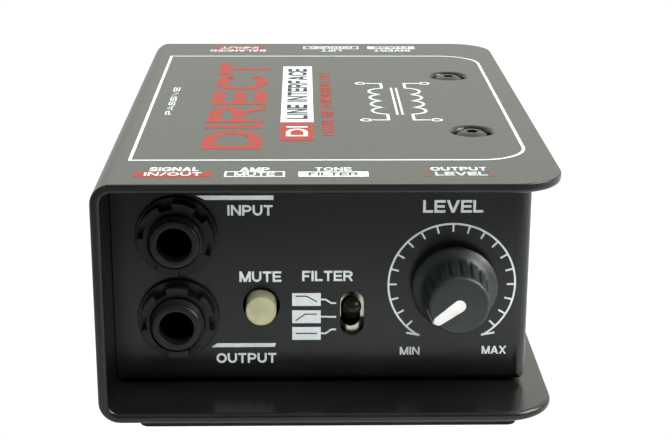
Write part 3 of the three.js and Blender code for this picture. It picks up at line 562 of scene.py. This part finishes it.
def letter(bm, name, left, width, height, thick, place, layer):
    """One capital between left and left + width on the baseline."""
    def spot(corner):
        u = left + thick / 2 + corner[0] * (width - thick)
        v = thick / 2 + corner[1] * (height - thick)
        return (u, v, *corner[2:])

    for index, (kind, *corners) in enumerate(CAPITALS[name][1]):
        lift = index * LIFT
        if kind == "post":
            middle = spot((corners[0], 0))[0]
            path(bm, place, [(middle, 0), (middle, height)], thick, layer, lift=lift)
        elif kind == "leg":
            (u0, v0), (u1, v1) = (spot(corner) for corner in corners)
            v0 = 0 if corners[0][1] == 0 else v0
            v1 = height if corners[1][1] == 1 else v1
            half = thick * LEG_HALF
            outline = [(u0 - half, v0), (u0 + half, v0), (u1 + half, v1), (u1 - half, v1)]
            slab(bm, outline, place, layer, lift)
        elif kind == "line":
            path(bm, place, [spot(corner)[:2] for corner in corners], thick, layer, lift=lift)
        else:
            spots = [spot(corner) for corner in corners]
            if kind == "soft":
                spots[0] = (*spots[0][:2], 0)
                spots[-1] = (*spots[-1][:2], 0)
            reach = (width - thick) / 2
            path(bm, place, softened(spots, reach), thick, layer, kind == "ring", lift)


def letters(bm, text, place, box, turn=0, weight=WEIGHT, layer=0):
    """Sets text to fill a box (u0, v0, u1, v1), turned by 0, 90 or 180 degrees."""
    u0, v0, u1, v1 = box
    length, height = (v1 - v0, u1 - u0) if turn == 90 else (u1 - u0, v1 - v0)

    def laid(u, v, w):
        if turn == 90:
            return place(u1 - v, v0 + u, w)
        if turn == 180:
            return place(u1 - u, v1 - v, w)
        return place(u0 + u, v0 + v, w)

    widths = [SPACE if name == " " else CAPITALS[name][0] for name in text]
    natural = sum(widths) + LETTER_GAP * (len(text) - 1)
    scale = length / natural
    left = 0.0
    for name, width in zip(text, widths):
        if name != " ":
            letter(bm, name, left, width * scale, height, weight * height, laid, layer)
        left += (width + LETTER_GAP) * scale


def print_piece(name, bm, material):
    return piece(name, bm, "case", material, smooth_angle=20.0)


# The front panel's print; places are (x, z) and boxes (x0, z0, x1, z1), in millimetres.
FRONT_WORDS = [
    ("INPUT", (-18.57, 36.94, -10.14, 38.97)),
    ("OUTPUT", (-21.08, 7.59, -9.69, 9.59)),
    ("MUTE", (-16.50, 23.94, -8.69, 26.02)),
    ("FILTER", (-4.78, 24.06, 4.73, 26.10)),
    ("LEVEL", (17.55, 37.42, 28.67, 39.85)),
    ("MIN", (13.73, 9.13, 17.49, 10.73)),
    ("MAX", (29.33, 9.25, 33.98, 10.85)),
]
JACK_BARS = [
    [(-24.21, 40.80), (-22.6, 39.97), (-10.04, 39.97), (-10.04, 40.80)],
    [(-22.00, 10.80), (-10.0, 10.85), (-9.77, 11.61), (-20.9, 11.61)],
]
DIAL_AT = (23.27, 23.35)
DIAL_R = 11.9
DIAL_TURN = 150  # degrees each way from the top
DIAL_STEPS = 80
DIAL_LINE = 0.36
TICKS = 9  # each way from the top
TICK_TURN = 15  # degrees
TICK_LENGTH = 1.55
TICK_LINE = 0.34
ARROW = [(5.85, -10.2), (8.35, -9.75)]  # tip and barb, from the dial's middle to its right
# The filter's three marks: low and high edge, where the line to the switch ends, the curve.
FILTER_MARKS = [
    (19.11, 21.66, 19.66, [(-6.03, 21.06), (-3.93, 21.06), (-2.0, 19.91)]),
    (15.64, 18.21, 16.89, [(-6.03, 16.14), (-4.23, 17.46), (-2.0, 17.46)]),
    (12.25, 14.85, 14.35, [(-6.03, 13.55), (-2.0, 13.55)]),
]
MARK_LEFT, MARK_RIGHT = -6.68, -1.30
CURVE_LINE = 0.22
POINTING_LINE = 0.32
POINTING_RIGHT = 1.60
POINTING_LEVEL = 0.9  # length of each level end of the line


def dial(bm):
    """The scale round the knob: an arc, its ticks and an arrow head at each end."""
    cx, cz = DIAL_AT
    arc = arc_points(cx, cz, DIAL_R, -DIAL_TURN, DIAL_TURN, DIAL_STEPS)
    path(bm, on_front, arc, DIAL_LINE)
    for step in range(-TICKS, TICKS + 1):
        a = math.radians(TICK_TURN * step)
        radii = (DIAL_R - TICK_LENGTH, DIAL_R)
        ends = [(cx + r * math.sin(a), cz + r * math.cos(a)) for r in radii]
        path(bm, on_front, ends, TICK_LINE, lift=LIFT)
    for side in (-1, 1):
        ends = [(cx + side * u, cz + v) for u, v in ARROW]
        path(bm, on_front, ends, DIAL_LINE, lift=LIFT)


def filter_mark(white, dark, low, high, end, curve):
    """A box with a filter's curve in it, and the line from it to its place on the switch."""
    bar(white, on_front, (MARK_LEFT, low, MARK_RIGHT, high))
    middle = (low + high) / 2
    line = [(MARK_RIGHT, middle), (MARK_RIGHT + POINTING_LEVEL, middle)]
    line += [(POINTING_RIGHT - POINTING_LEVEL, end), (POINTING_RIGHT, end)]
    path(white, on_front, line, POINTING_LINE)
    path(dark, on_front, curve, CURVE_LINE, layer=1)


def front_print():
    white, dark = bmesh.new(), bmesh.new()
    for text, box in FRONT_WORDS:
        letters(white, text, on_front, box)
    for outline in JACK_BARS:
        slab(white, outline, on_front)
    dial(white)
    for mark in FILTER_MARKS:
        filter_mark(white, dark, *mark)
    print_piece("front_print_white", white, WHITE_INK)
    print_piece("front_print_dark", dark, DARK_INK)


# The top plate's print; places are (x, y) and boxes (x0, y0, x1, y1). Each word has its ink, its
# layer (1 for a word that lies on a bar) and its box.
FRAME_LINE = (-36.4, -47.5, 37.3, 47.5)
FRAME_RADII = [0, 9.0, 9.0, 0]
FRAME_STEPS = 14
FRAME_WIDTH = 0.62
EDGE_WEIGHT = 0.18  # of the letters along the top's front and back edges
FRONT_EDGE_WORDS = [
    ("white", 0, "SIGNAL", (-32.2, -54.9, -23.2, -52.4)),
    ("white", 1, "IN/OUT", (-32.9, -57.9, -22.6, -55.8)),
    ("white", 0, "AMP", (-15.9, -54.9, -10.6, -52.6)),
    ("white", 0, "MUTE", (-16.8, -57.9, -9.6, -55.8)),
    ("white", 0, "TONE", (-2.5, -54.8, 4.2, -52.6)),
    ("dark", 1, "FILTER", (-3.6, -57.9, 5.3, -55.9)),
    ("white", 0, "OUTPUT", (18.4, -54.7, 28.6, -52.5)),
    ("white", 0, "LEVEL", (19.0, -57.9, 28.3, -55.7)),
]
BACK_EDGE_WORDS = [
    ("white", 0, "BALANCED", (-27.4, 53.2, -13.7, 55.4)),
    ("white", 1, "INPUT", (-25.0, 56.8, -15.6, 58.9)),
    ("white", 0, "LIFT", (-0.1, 53.2, 5.0, 55.4)),
    ("white", 0, "GROUND", (-2.8, 56.9, 7.8, 58.9)),
    ("white", 0, "INVERT", (13.0, 53.2, 22.0, 55.4)),
    ("dark", 1, "PHASE", (13.2, 56.9, 21.8, 58.9)),
]
TITLE = ("DIRECT", (-24.0, -39.5, -12.4, 39.5))
TITLE_WEIGHT = 0.23
MIDDLE_WORDS = [
    ("white", 1, "DI", (-7.9, -30.2, -3.6, -22.0)),
    ("dark", 1, "LINE INTERFACE", (-7.9, -16.2, -3.6, 32.6)),
    ("red", 0, "PASSIVE LINE TO INSTRUMENT LEVEL", (-0.9, -29.4, 1.6, 28.6)),
    ("white", 0, "PASSIVE", (-33.0, -12.4, -31.6, 12.6)),
]
TOP_BARS = [
    ("red", (-34.7, -58.5, -21.0, -55.3)),
    ("white", (-5.4, -58.6, 7.1, -55.3)),
    ("red", (-26.6, 56.3, -14.0, 59.4)),
    ("white", (11.6, 56.3, 23.4, 59.4)),
    ("red", (-9.1, -33.4, -2.4, -18.8)),
    ("white", (-9.1, -18.8, -2.4, 35.3)),
]
LINED_BOXES = [(-18.4, -58.4, -8.0, -55.3), (-4.2, 56.4, 9.2, 59.4)]
BOX_LINE = 0.4
BRACKETS = [(17.4, 18.4), (29.2, 28.2)]  # x of the back and of the ends of each
BRACKET_LOW, BRACKET_HIGH = -58.2, -55.3
BRACKET_LINE = 0.35


def top_print():
    inks = {name: bmesh.new() for name in ("white", "red", "dark")}
    frame_outline = rounded_points(*FRAME_LINE, FRAME_RADII, FRAME_STEPS)
    path(inks["white"], on_top, frame_outline, FRAME_WIDTH, closed=True)
    for name, box in TOP_BARS:
        bar(inks[name], on_top, box)
    for box in LINED_BOXES:
        path(inks["white"], on_top, square_points(*box), BOX_LINE, closed=True)
    for back, end in BRACKETS:
        low, high = BRACKET_LOW, BRACKET_HIGH
        path(inks["red"], on_top, [(end, low), (back, low), (back, high), (end, high)], BRACKET_LINE)
    for name, layer, text, box in FRONT_EDGE_WORDS:
        letters(inks[name], text, on_top, box, weight=EDGE_WEIGHT, layer=layer)
    for name, layer, text, box in BACK_EDGE_WORDS:
        letters(inks[name], text, on_top, box, turn=180, weight=EDGE_WEIGHT, layer=layer)
    for name, layer, text, box in MIDDLE_WORDS:
        letters(inks[name], text, on_top, box, turn=90, layer=layer)
    title, box = TITLE
    letters(inks["red"], title, on_top, box, turn=90, weight=TITLE_WEIGHT)
    signal_sketch(inks["white"])
    print_piece("top_print_white", inks["white"], WHITE_INK)
    print_piece("top_print_red", inks["red"], RED_INK)
    print_piece("top_print_dark", inks["dark"], DARK_INK)


SKETCH_X = 15.5
SKETCH_LINE = 0.6
COIL_X = 2.6  # from the sketch's middle
COIL_TURNS = 4
COIL_TURN_R = 3.0
COIL_END = COIL_TURNS * COIL_TURN_R
BOW_STEPS = 12
LEAD_OUT, LEAD_ACROSS = 5.0, 3.6
TERMINAL_R = 1.0
TERMINAL_TURN = 345  # degrees round the ring to its last point; it closes on its first
TERMINAL_STEPS = 15
TERMINAL_LINE = 0.5
CORE_X = 0.55
CORE_END = 12.5
CORE_LINE = 0.45


def signal_sketch(bm):
    """A plain schematic of a transformer between two pairs of terminals."""
    for side in (-1, 1):
        x = SKETCH_X + side * COIL_X
        for k in range(COIL_TURNS):
            cy = (2 * k + 1) * COIL_TURN_R - COIL_END
            bow = arc_points(x, cy, COIL_TURN_R, 0, side * 180, BOW_STEPS)
            path(bm, on_top, bow, SKETCH_LINE)
        for end in (-1, 1):
            y = end * (COIL_END + LEAD_OUT)
            across = x + side * LEAD_ACROSS
            path(bm, on_top, [(x, end * COIL_END), (x, y), (across, y)], SKETCH_LINE)
            at = across + side * TERMINAL_R
            ring = arc_points(at, y, TERMINAL_R, 0, TERMINAL_TURN, TERMINAL_STEPS)
            path(bm, on_top, ring, TERMINAL_LINE, closed=True)
        core = SKETCH_X + side * CORE_X
        path(bm, on_top, [(core, -CORE_END), (core, CORE_END)], CORE_LINE)


# Pieces ---------------------------------------------------------------------------------------
CUT_EDGE = 0.86  # rounding of the cut edges of the sheet, nearly half its thickness
TOP_RIM = 0.35  # share of that rounding where the cut meets the top face
TOP_RIM_END = 1.9  # the share grows to all of it this far below the top face
DISH_RIM = 0.9  # share of that rounding at the rims of the pressed dishes
OTHER_EDGE = 0.15  # share of that rounding everywhere else
CUT_STEPS = 6
BORDER = 1.2  # strip of faces along the edges of the top, so that they round evenly
CLOSE = 0.01  # heights that differ by less are the same
UPRIGHT = 0.1  # an upright face's normal rises less than this


def shell():
    """The folded sheet: its cut edges are rounded over, and its other edges only eased."""
    bm = welded("outer_shell")
    bm.normal_update()
    for vertex in bm.verts:
        if vertex.co.z > (TOP - CLOSE) * MM:
            vertex.co.z -= PAINT_ROOM * MM
    just_under = (TOP - PAINT_ROOM - CLOSE) * MM
    plate = [face for face in bm.faces if min(v.co.z for v in face.verts) > just_under]
    bmesh.ops.inset_region(bm, faces=plate, thickness=BORDER * MM, use_even_offset=True)
    wall_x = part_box("inner_chassis")[1].x
    cut_faces = set()
    for face in bm.faces:
        middle = face.calc_center_bounds()
        outside = abs(middle.y) > PANEL_Y * MM or middle.x > wall_x
        if abs(face.normal.z) < UPRIGHT and outside:
            cut_faces.add(face)
    weight = bm.edges.layers.float.new("bevel_weight_edge")
    for edge in bm.edges:
        low, high = sorted(vertex.co.z for vertex in edge.verts)
        if len(set(edge.link_faces) & cut_faces) == 1:
            below = TOP - (low + high) / 2 / MM
            edge[weight] = min(1.0, max(TOP_RIM, below / TOP_RIM_END))
        elif edge.is_manifold and edge.calc_face_angle() > math.radians(EDGE_ANGLE):
            edge[weight] = DISH_RIM if low > just_under else OTHER_EDGE
    made = piece("outer_shell_fine", bm, "case", COAT)
    rounding = bevel(made, CUT_EDGE, CUT_STEPS)
    rounding.limit_method = "WEIGHT"
    rounding.use_clamp_overlap = False
    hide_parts("outer_shell")


JACKS = ["input", "output"]
JACK_FACE = -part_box("input_jack_body")[0].y / MM
BODY_CUT = 1.0
TURNED_STEPS = 64
TURNED_ANGLE = 50.0  # degrees; turned pieces are smooth up to it
BORE_R, ROOT_R, CREST_R = 3.2, 4.80, 4.99
MOUTH_EDGE = 0.2
MOUTH_STEPS = 5
NOSE = [(-0.5, 0.0), (-0.44, -0.03), (0.0, -0.5)]  # from the root's radius and the front
THREAD_START = 53.45
THREAD_PITCH = 0.52
THREAD_TURNS = 4
TOOTH = [(ROOT_R, 0.46), (CREST_R, 0.32), (CREST_R, 0.18), (ROOT_R, 0.04)]


def jack_body(jack):
    """The body, cut back a little at its mouth, where the bushing's fine front covers it."""
    bm = welded(jack + "_jack_body")
    for vertex in bm.verts:
        vertex.co.y = max(vertex.co.y, -(JACK_FACE - BODY_CUT) * MM)
    close_up(bm)
    made = piece(jack + "_jack_body_fine", bm, "case", JACK_PLASTIC)
    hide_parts(jack + "_jack_body")


def jack_bushing(jack):
    """The bushing's front: thread crests outside, a rounded mouth and the bore."""
    low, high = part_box(jack + "_jack_washer")
    middle = (low + high) / 2 / MM
    profile = [(BORE_R, THREAD_START)]
    for c, s in quarter(MOUTH_STEPS):
        profile.append((BORE_R + MOUTH_EDGE * (1 - c), JACK_FACE - MOUTH_EDGE * (1 - s)))
    profile += [(ROOT_R + r, JACK_FACE + h) for r, h in NOSE]
    for k in reversed(range(THREAD_TURNS)):
        start = THREAD_START + k * THREAD_PITCH
        profile += [(r, start + h) for r, h in TOOTH]
    bm = bmesh.new()
    revolve(bm, profile, TURNED_STEPS, outwards(middle.x, middle.z))
    piece(jack + "_jack_bushing", bm, "case", JACK_PLASTIC, TURNED_ANGLE)


CAP_EDGE = 0.35
CAP_EDGE_STEPS = 6
CAP_STEPS = 72


def mute_cap():
    """A round cap with a softened edge."""
    low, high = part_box("mute_cap")
    middle = (low + high) / 2 / MM
    radius = (high.x - low.x) / 2 / MM
    back, front = -high.y / MM, -low.y / MM
    profile = [(0.0, back), (radius, back)]
    for c, s in quarter(CAP_EDGE_STEPS):
        profile.append((radius - CAP_EDGE * (1 - c), front - CAP_EDGE * (1 - s)))
    profile.append((0.0, front))
    bm = bmesh.new()
    revolve(bm, profile, CAP_STEPS, outwards(middle.x, middle.z))
    made = piece("mute_cap_fine", bm, "mute_button", BEIGE, TURNED_ANGLE)
    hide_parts("mute_cap")


# The knob; a height is measured from its underside to the front.
FLUTES = 18
STEPS_PER_FLUTE = 14
FLUTE_DEPTH = 0.42
FLUTE_WIDTH = 0.42  # share of the distance between two flutes
FLUTE_END = 0.9  # the flutes end this far below the face
FLUTE_FADE_LOW, FLUTE_FADE_HIGH = 0.5, 0.8  # lengths over which they run out
KNOB_BORE_R = 3.3
KNOB_TOP_THICKNESS = 1.4
WELL_R, WELL_DEPTH = 5.95, 1.8
SKIRT = [
    (7.75, 0.0), (7.98, 0.18), (8.04, 0.42), (7.97, 0.72),
    (7.6, 1.05), (7.1, 1.4), (6.7, 1.72), (6.42, 1.98),
]
GRIP_LOW_R, GRIP_HIGH_R = 6.2, 5.55
GRIP_LOW = 2.3
GRIP_ROWS = 10
RIM = 0.75  # rounding between the grip and the face
RIM_STEPS = 5


def knob_profile():
    """Radius and height, from the bore round the skirt and the grip to the middle of the face."""
    bore_top = KNOB_H - KNOB_TOP_THICKNESS
    profile = [(KNOB_BORE_R, bore_top), (KNOB_BORE_R, WELL_DEPTH)]
    profile += [(WELL_R, WELL_DEPTH), (WELL_R, 0.0), *SKIRT]
    for i in range(GRIP_ROWS + 1):
        part = i / GRIP_ROWS
        h = GRIP_LOW + (KNOB_H - RIM - GRIP_LOW) * part
        profile.append((GRIP_LOW_R + (GRIP_HIGH_R - GRIP_LOW_R) * part, h))
    for c, s in quarter(RIM_STEPS)[1:]:
        profile.append((GRIP_HIGH_R - RIM * (1 - c), KNOB_H - RIM * (1 - s)))
    profile += [(0.0, KNOB_H), (0.0, bore_top)]
    return profile


def flute_dip(column, r, h):
    """How far a point of the grip is pushed in by the flute it lies in."""
    high = KNOB_H - FLUTE_END
    if r < GRIP_HIGH_R or h < GRIP_LOW or h > high:
        return 0.0
    half = STEPS_PER_FLUTE / 2
    across = abs(column % STEPS_PER_FLUTE - half) / half
    dip = max(0.0, 1.0 - (across / FLUTE_WIDTH) ** 2)
    fade = min(1.0, (h - GRIP_LOW) / FLUTE_FADE_LOW, (high - h) / FLUTE_FADE_HIGH)
    return FLUTE_DEPTH * dip * fade


def knob():
    """The skirt, the fluted grip and the flat face, with the well and the bore underneath."""
    middle = (KNOB_LOW + KNOB_HIGH) / 2
    place = outwards(middle.x, middle.z)
    columns = FLUTES * STEPS_PER_FLUTE
    profile = knob_profile()
    bm = bmesh.new()
    rings = []
    for k in range(columns):
        turn = 2.0 * math.pi * k / columns + math.radians(POINTER_AT)
        ring = []
        for r, h in profile:
            radius = r - flute_dip(k, r, h)
            at = place(radius * math.sin(turn), radius * math.cos(turn), KNOB_BASE + h)
            ring.append(bm.verts.new(at * MM))
        rings.append(ring)
    join_rings(bm, rings)
    body, slot = "level_knob_set", "black_plastic"
    made = piece("level_knob_fine", bm, body, KNOB_PLASTIC, TURNED_ANGLE)
    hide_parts("level_knob")


LEVER_UP = math.radians(18.0)
LEVER_ANGLE = 60.0  # degrees; the lever is smooth up to it
BALL_R = 2.95
BALL_ARC = (-90.0, 66.0)  # degrees up from the waist
BALL_STEPS = 24
NECK = [(1.05, 2.95), (1.05, 3.55), (1.11, 4.15), (1.25, 5.0)]  # radius and height
TIP_R = 1.7
TIP_AT = 6.2  # from the pivot to the centre of the tip
TIP_ARC = (-42.0, 90.0)
TIP_STEPS = 16


def sphere_points(centre, r, start, end, steps):
    """Radius and height along a ball's outline; angles are degrees up from its waist."""
    turns = [math.radians(start + (end - start) * i / steps) for i in range(steps + 1)]
    return [(r * math.cos(a), centre + r * math.sin(a)) for a in turns]


def on_lever(u, v, h):
    """Places a turned profile on the lever's own line: height runs from the pivot to the tip."""
    along = Vector((0.0, -math.cos(LEVER_UP), math.sin(LEVER_UP)))
    across = Vector((0.0, math.sin(LEVER_UP), math.cos(LEVER_UP)))
    return LEVER_PIVOT + along * h + Vector((1.0, 0.0, 0.0)) * u + across * v


def lever():
    """A ball at the pivot, and a short bat that ends in a smaller ball."""
    profile = sphere_points(0.0, BALL_R, *BALL_ARC, BALL_STEPS) + NECK
    profile += sphere_points(TIP_AT, TIP_R, *TIP_ARC, TIP_STEPS)
    bm = bmesh.new()
    revolve(bm, profile, TURNED_STEPS, on_lever)
    body, slot = "filter_toggle", "black_plastic"
    made = piece("filter_lever_fine", bm, body, LEVER_PLASTIC, LEVER_ANGLE)
    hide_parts("filter_lever")


def fine_copies():
    refined("inner_chassis", "case", COAT, width_mm=0.12)
    refined("rubber_pad", "case", PAD, width_mm=0.2)
    refined("level_pointer", "level_knob_set", WHITE, width_mm=0.04)
    for name in ("screw_top_front", "screw_top_back", "screw_bottom_front", "screw_bottom_back"):
        refined(name, "case", BLACK_STEEL, width_mm=0.08)
    for name in JACKS:
        refined(name + "_jack_nut", "case", JACK_PLASTIC, width_mm=0.22, segments=3)
        refined(name + "_jack_washer", "case", JACK_PLASTIC, width_mm=0.15)
    refined("filter_frame", "case", TOGGLE_PLATE, width_mm=0.12)
    refined("xlr_housing", "case", SOCKET_PLASTIC, width_mm=0.3, segments=3)
    refined("xlr_insert", "case", SOCKET_PLASTIC, width_mm=0.15)
    refined("xlr_latch", "xlr_release", NICKEL, width_mm=0.3, segments=3)
    for side in ("low", "high"):
        refined("xlr_screw_" + side, "case", BLACK_STEEL, width_mm=0.08)


# Stage ----------------------------------------------------------------------------------------
def floor_paper():
    """Pale paper, plain white to the camera; gloss sees it brightest close to the object."""
    mat = principled("floor_paper", (0.86, 0.86, 0.85), 0.9, specular=0.1)
    patches = noise_of(mat, size_mm=120.0, detail=2.0)
    vary_color(mat, patches, (0.85, 0.85, 0.84), (0.88, 0.88, 0.87))
    tree = mat.node_tree
    white = tree.nodes.new("ShaderNodeEmission")
    white.inputs["Strength"].default_value = SEEN_WHITE
    to_camera = tree.nodes.new("ShaderNodeMixShader")
    coords = tree.nodes.new("ShaderNodeTexCoord")
    split = tree.nodes.new("ShaderNodeSeparateXYZ")
    level = tree.nodes.new("ShaderNodeMath")
    level.operation = "MULTIPLY"
    glow = tree.nodes.new("ShaderNodeEmission")
    glow.inputs["Color"].default_value = FLOOR_TINT
    rays = tree.nodes.new("ShaderNodeLightPath")
    mix = tree.nodes.new("ShaderNodeMixShader")
    tree.links.new(coords.outputs["Object"], split.inputs["Vector"])
    rows = [y * MM for y in FAR_TO_NEAR]
    columns = [x * MM for x in LEFT_TO_RIGHT]
    along = graded(tree, split.outputs["Y"], *rows, FLOOR_FAR, FLOOR_NEAR)
    across = graded(tree, split.outputs["X"], *columns, FLOOR_LEFT, FLOOR_RIGHT)
    tree.links.new(along, level.inputs[0])
    tree.links.new(across, level.inputs[1])
    tree.links.new(level.outputs["Value"], glow.inputs["Strength"])
    tree.links.new(rays.outputs["Is Glossy Ray"], mix.inputs["Fac"])
    tree.links.new(tree.nodes["Principled BSDF"].outputs["BSDF"], mix.inputs[1])
    tree.links.new(glow.outputs["Emission"], mix.inputs[2])
    tree.links.new(rays.outputs["Is Camera Ray"], to_camera.inputs["Fac"])
    tree.links.new(mix.outputs["Shader"], to_camera.inputs[1])
    tree.links.new(white.outputs["Emission"], to_camera.inputs[2])
    tree.links.new(to_camera.outputs["Shader"], tree.nodes["Material Output"].inputs["Surface"])
    return mat


def floor():
    bm = bmesh.new()
    reach = FLOOR_REACH * MM
    corners = square_points(-reach, -reach, reach, reach)
    bm.faces.new([bm.verts.new((x, y, 0.0)) for x, y in corners])
    mesh = bpy.data.meshes.new("floor")
    bm.to_mesh(mesh)
    bm.free()
    mesh.materials.append(floor_paper())
    made = bpy.data.objects.new("floor", mesh)
    bpy.context.scene.collection.objects.link(made)


def soft_light(name, at_mm, towards_mm, size_mm, power):
    """A square light out of the camera's sight."""
    data = bpy.data.lights.new(name, "AREA")
    data.size = size_mm * MM
    data.energy = power
    light = bpy.data.objects.new(name, data)
    light.location = Vector(at_mm) * MM
    aim = (Vector(towards_mm) - Vector(at_mm)).normalized()
    light.rotation_euler = aim.to_track_quat("-Z", "Y").to_euler()
    light.visible_camera = False
    bpy.context.scene.collection.objects.link(light)
    return light


def studio():
    """White all round for the camera; as light, bright behind the object and dim before it."""
    world = bpy.data.worlds.new("studio")
    world.use_nodes = True
    tree = world.node_tree
    lit = tree.nodes["Background"]
    coords = tree.nodes.new("ShaderNodeTexCoord")
    split = tree.nodes.new("ShaderNodeSeparateXYZ")
    level = tree.nodes.new("ShaderNodeMath")
    level.operation = "MULTIPLY"
    tree.links.new(coords.outputs["Generated"], split.inputs["Vector"])
    along = graded(tree, split.outputs["Y"], *FRONT_TO_BACK, WORLD_FRONT, WORLD_BACK)
    upwards = graded(tree, split.outputs["Z"], *LOW_TO_HIGH, WORLD_LOW, WORLD_HIGH)
    tree.links.new(along, level.inputs[0])
    tree.links.new(upwards, level.inputs[1])
    tree.links.new(level.outputs["Value"], lit.inputs["Strength"])
    lit.inputs["Color"].default_value = WORLD_TINT
    seen = tree.nodes.new("ShaderNodeBackground")
    seen.inputs["Color"].default_value = (1.0, 1.0, 1.0, 1.0)
    seen.inputs["Strength"].default_value = SEEN_WHITE
    rays = tree.nodes.new("ShaderNodeLightPath")
    mix = tree.nodes.new("ShaderNodeMixShader")
    tree.links.new(rays.outputs["Is Camera Ray"], mix.inputs["Fac"])
    tree.links.new(lit.outputs["Background"], mix.inputs[1])
    tree.links.new(seen.outputs["Background"], mix.inputs[2])
    tree.links.new(mix.outputs["Shader"], tree.nodes["World Output"].inputs["Surface"])
    bpy.context.scene.world = world
    bpy.context.scene.view_settings.view_transform = "Standard"


def lights():
    """The overhead light isn't mirrored in gloss, and the side light is only seen in it."""
    overhead = soft_light(
        "overhead", OVERHEAD_AT, OVERHEAD_TOWARDS, OVERHEAD_SIZE, OVERHEAD_POWER
    )
    overhead.visible_glossy = False
    side = soft_light("side", SIDE_AT, SIDE_TOWARDS, SIDE_SIZE, SIDE_POWER)
    side.visible_diffuse = False


def camera():
    data = bpy.data.cameras.new("camera")
    data.lens = CAMERA_LENS
    data.sensor_width = SENSOR
    data.clip_start = 0.01
    data.clip_end = 50.0
    made = bpy.data.objects.new("camera", data)
    yaw, pitch, roll = CAMERA_YAW, CAMERA_PITCH, CAMERA_ROLL
    ahead = Vector((
        math.sin(yaw) * math.cos(pitch),
        math.cos(yaw) * math.cos(pitch),
        -math.sin(pitch),
    ))
    level = Vector((math.cos(yaw), -math.sin(yaw), 0.0))
    upright = level.cross(ahead)
    right = math.cos(roll) * level + math.sin(roll) * upright
    up = math.cos(roll) * upright - math.sin(roll) * level
    turn = Matrix((right, up, -ahead)).transposed().to_4x4()
    made.matrix_world = Matrix.Translation(CAMERA_AT * MM) @ turn
    bpy.context.scene.collection.objects.link(made)
    bpy.context.scene.camera = made


camera()
studio()
lights()
floor()
dress_nodes()
shell()
fine_copies()
for jack_name in JACKS:
    jack_body(jack_name)
    jack_bushing(jack_name)
mute_cap()
knob()
lever()
front_print()
top_print()
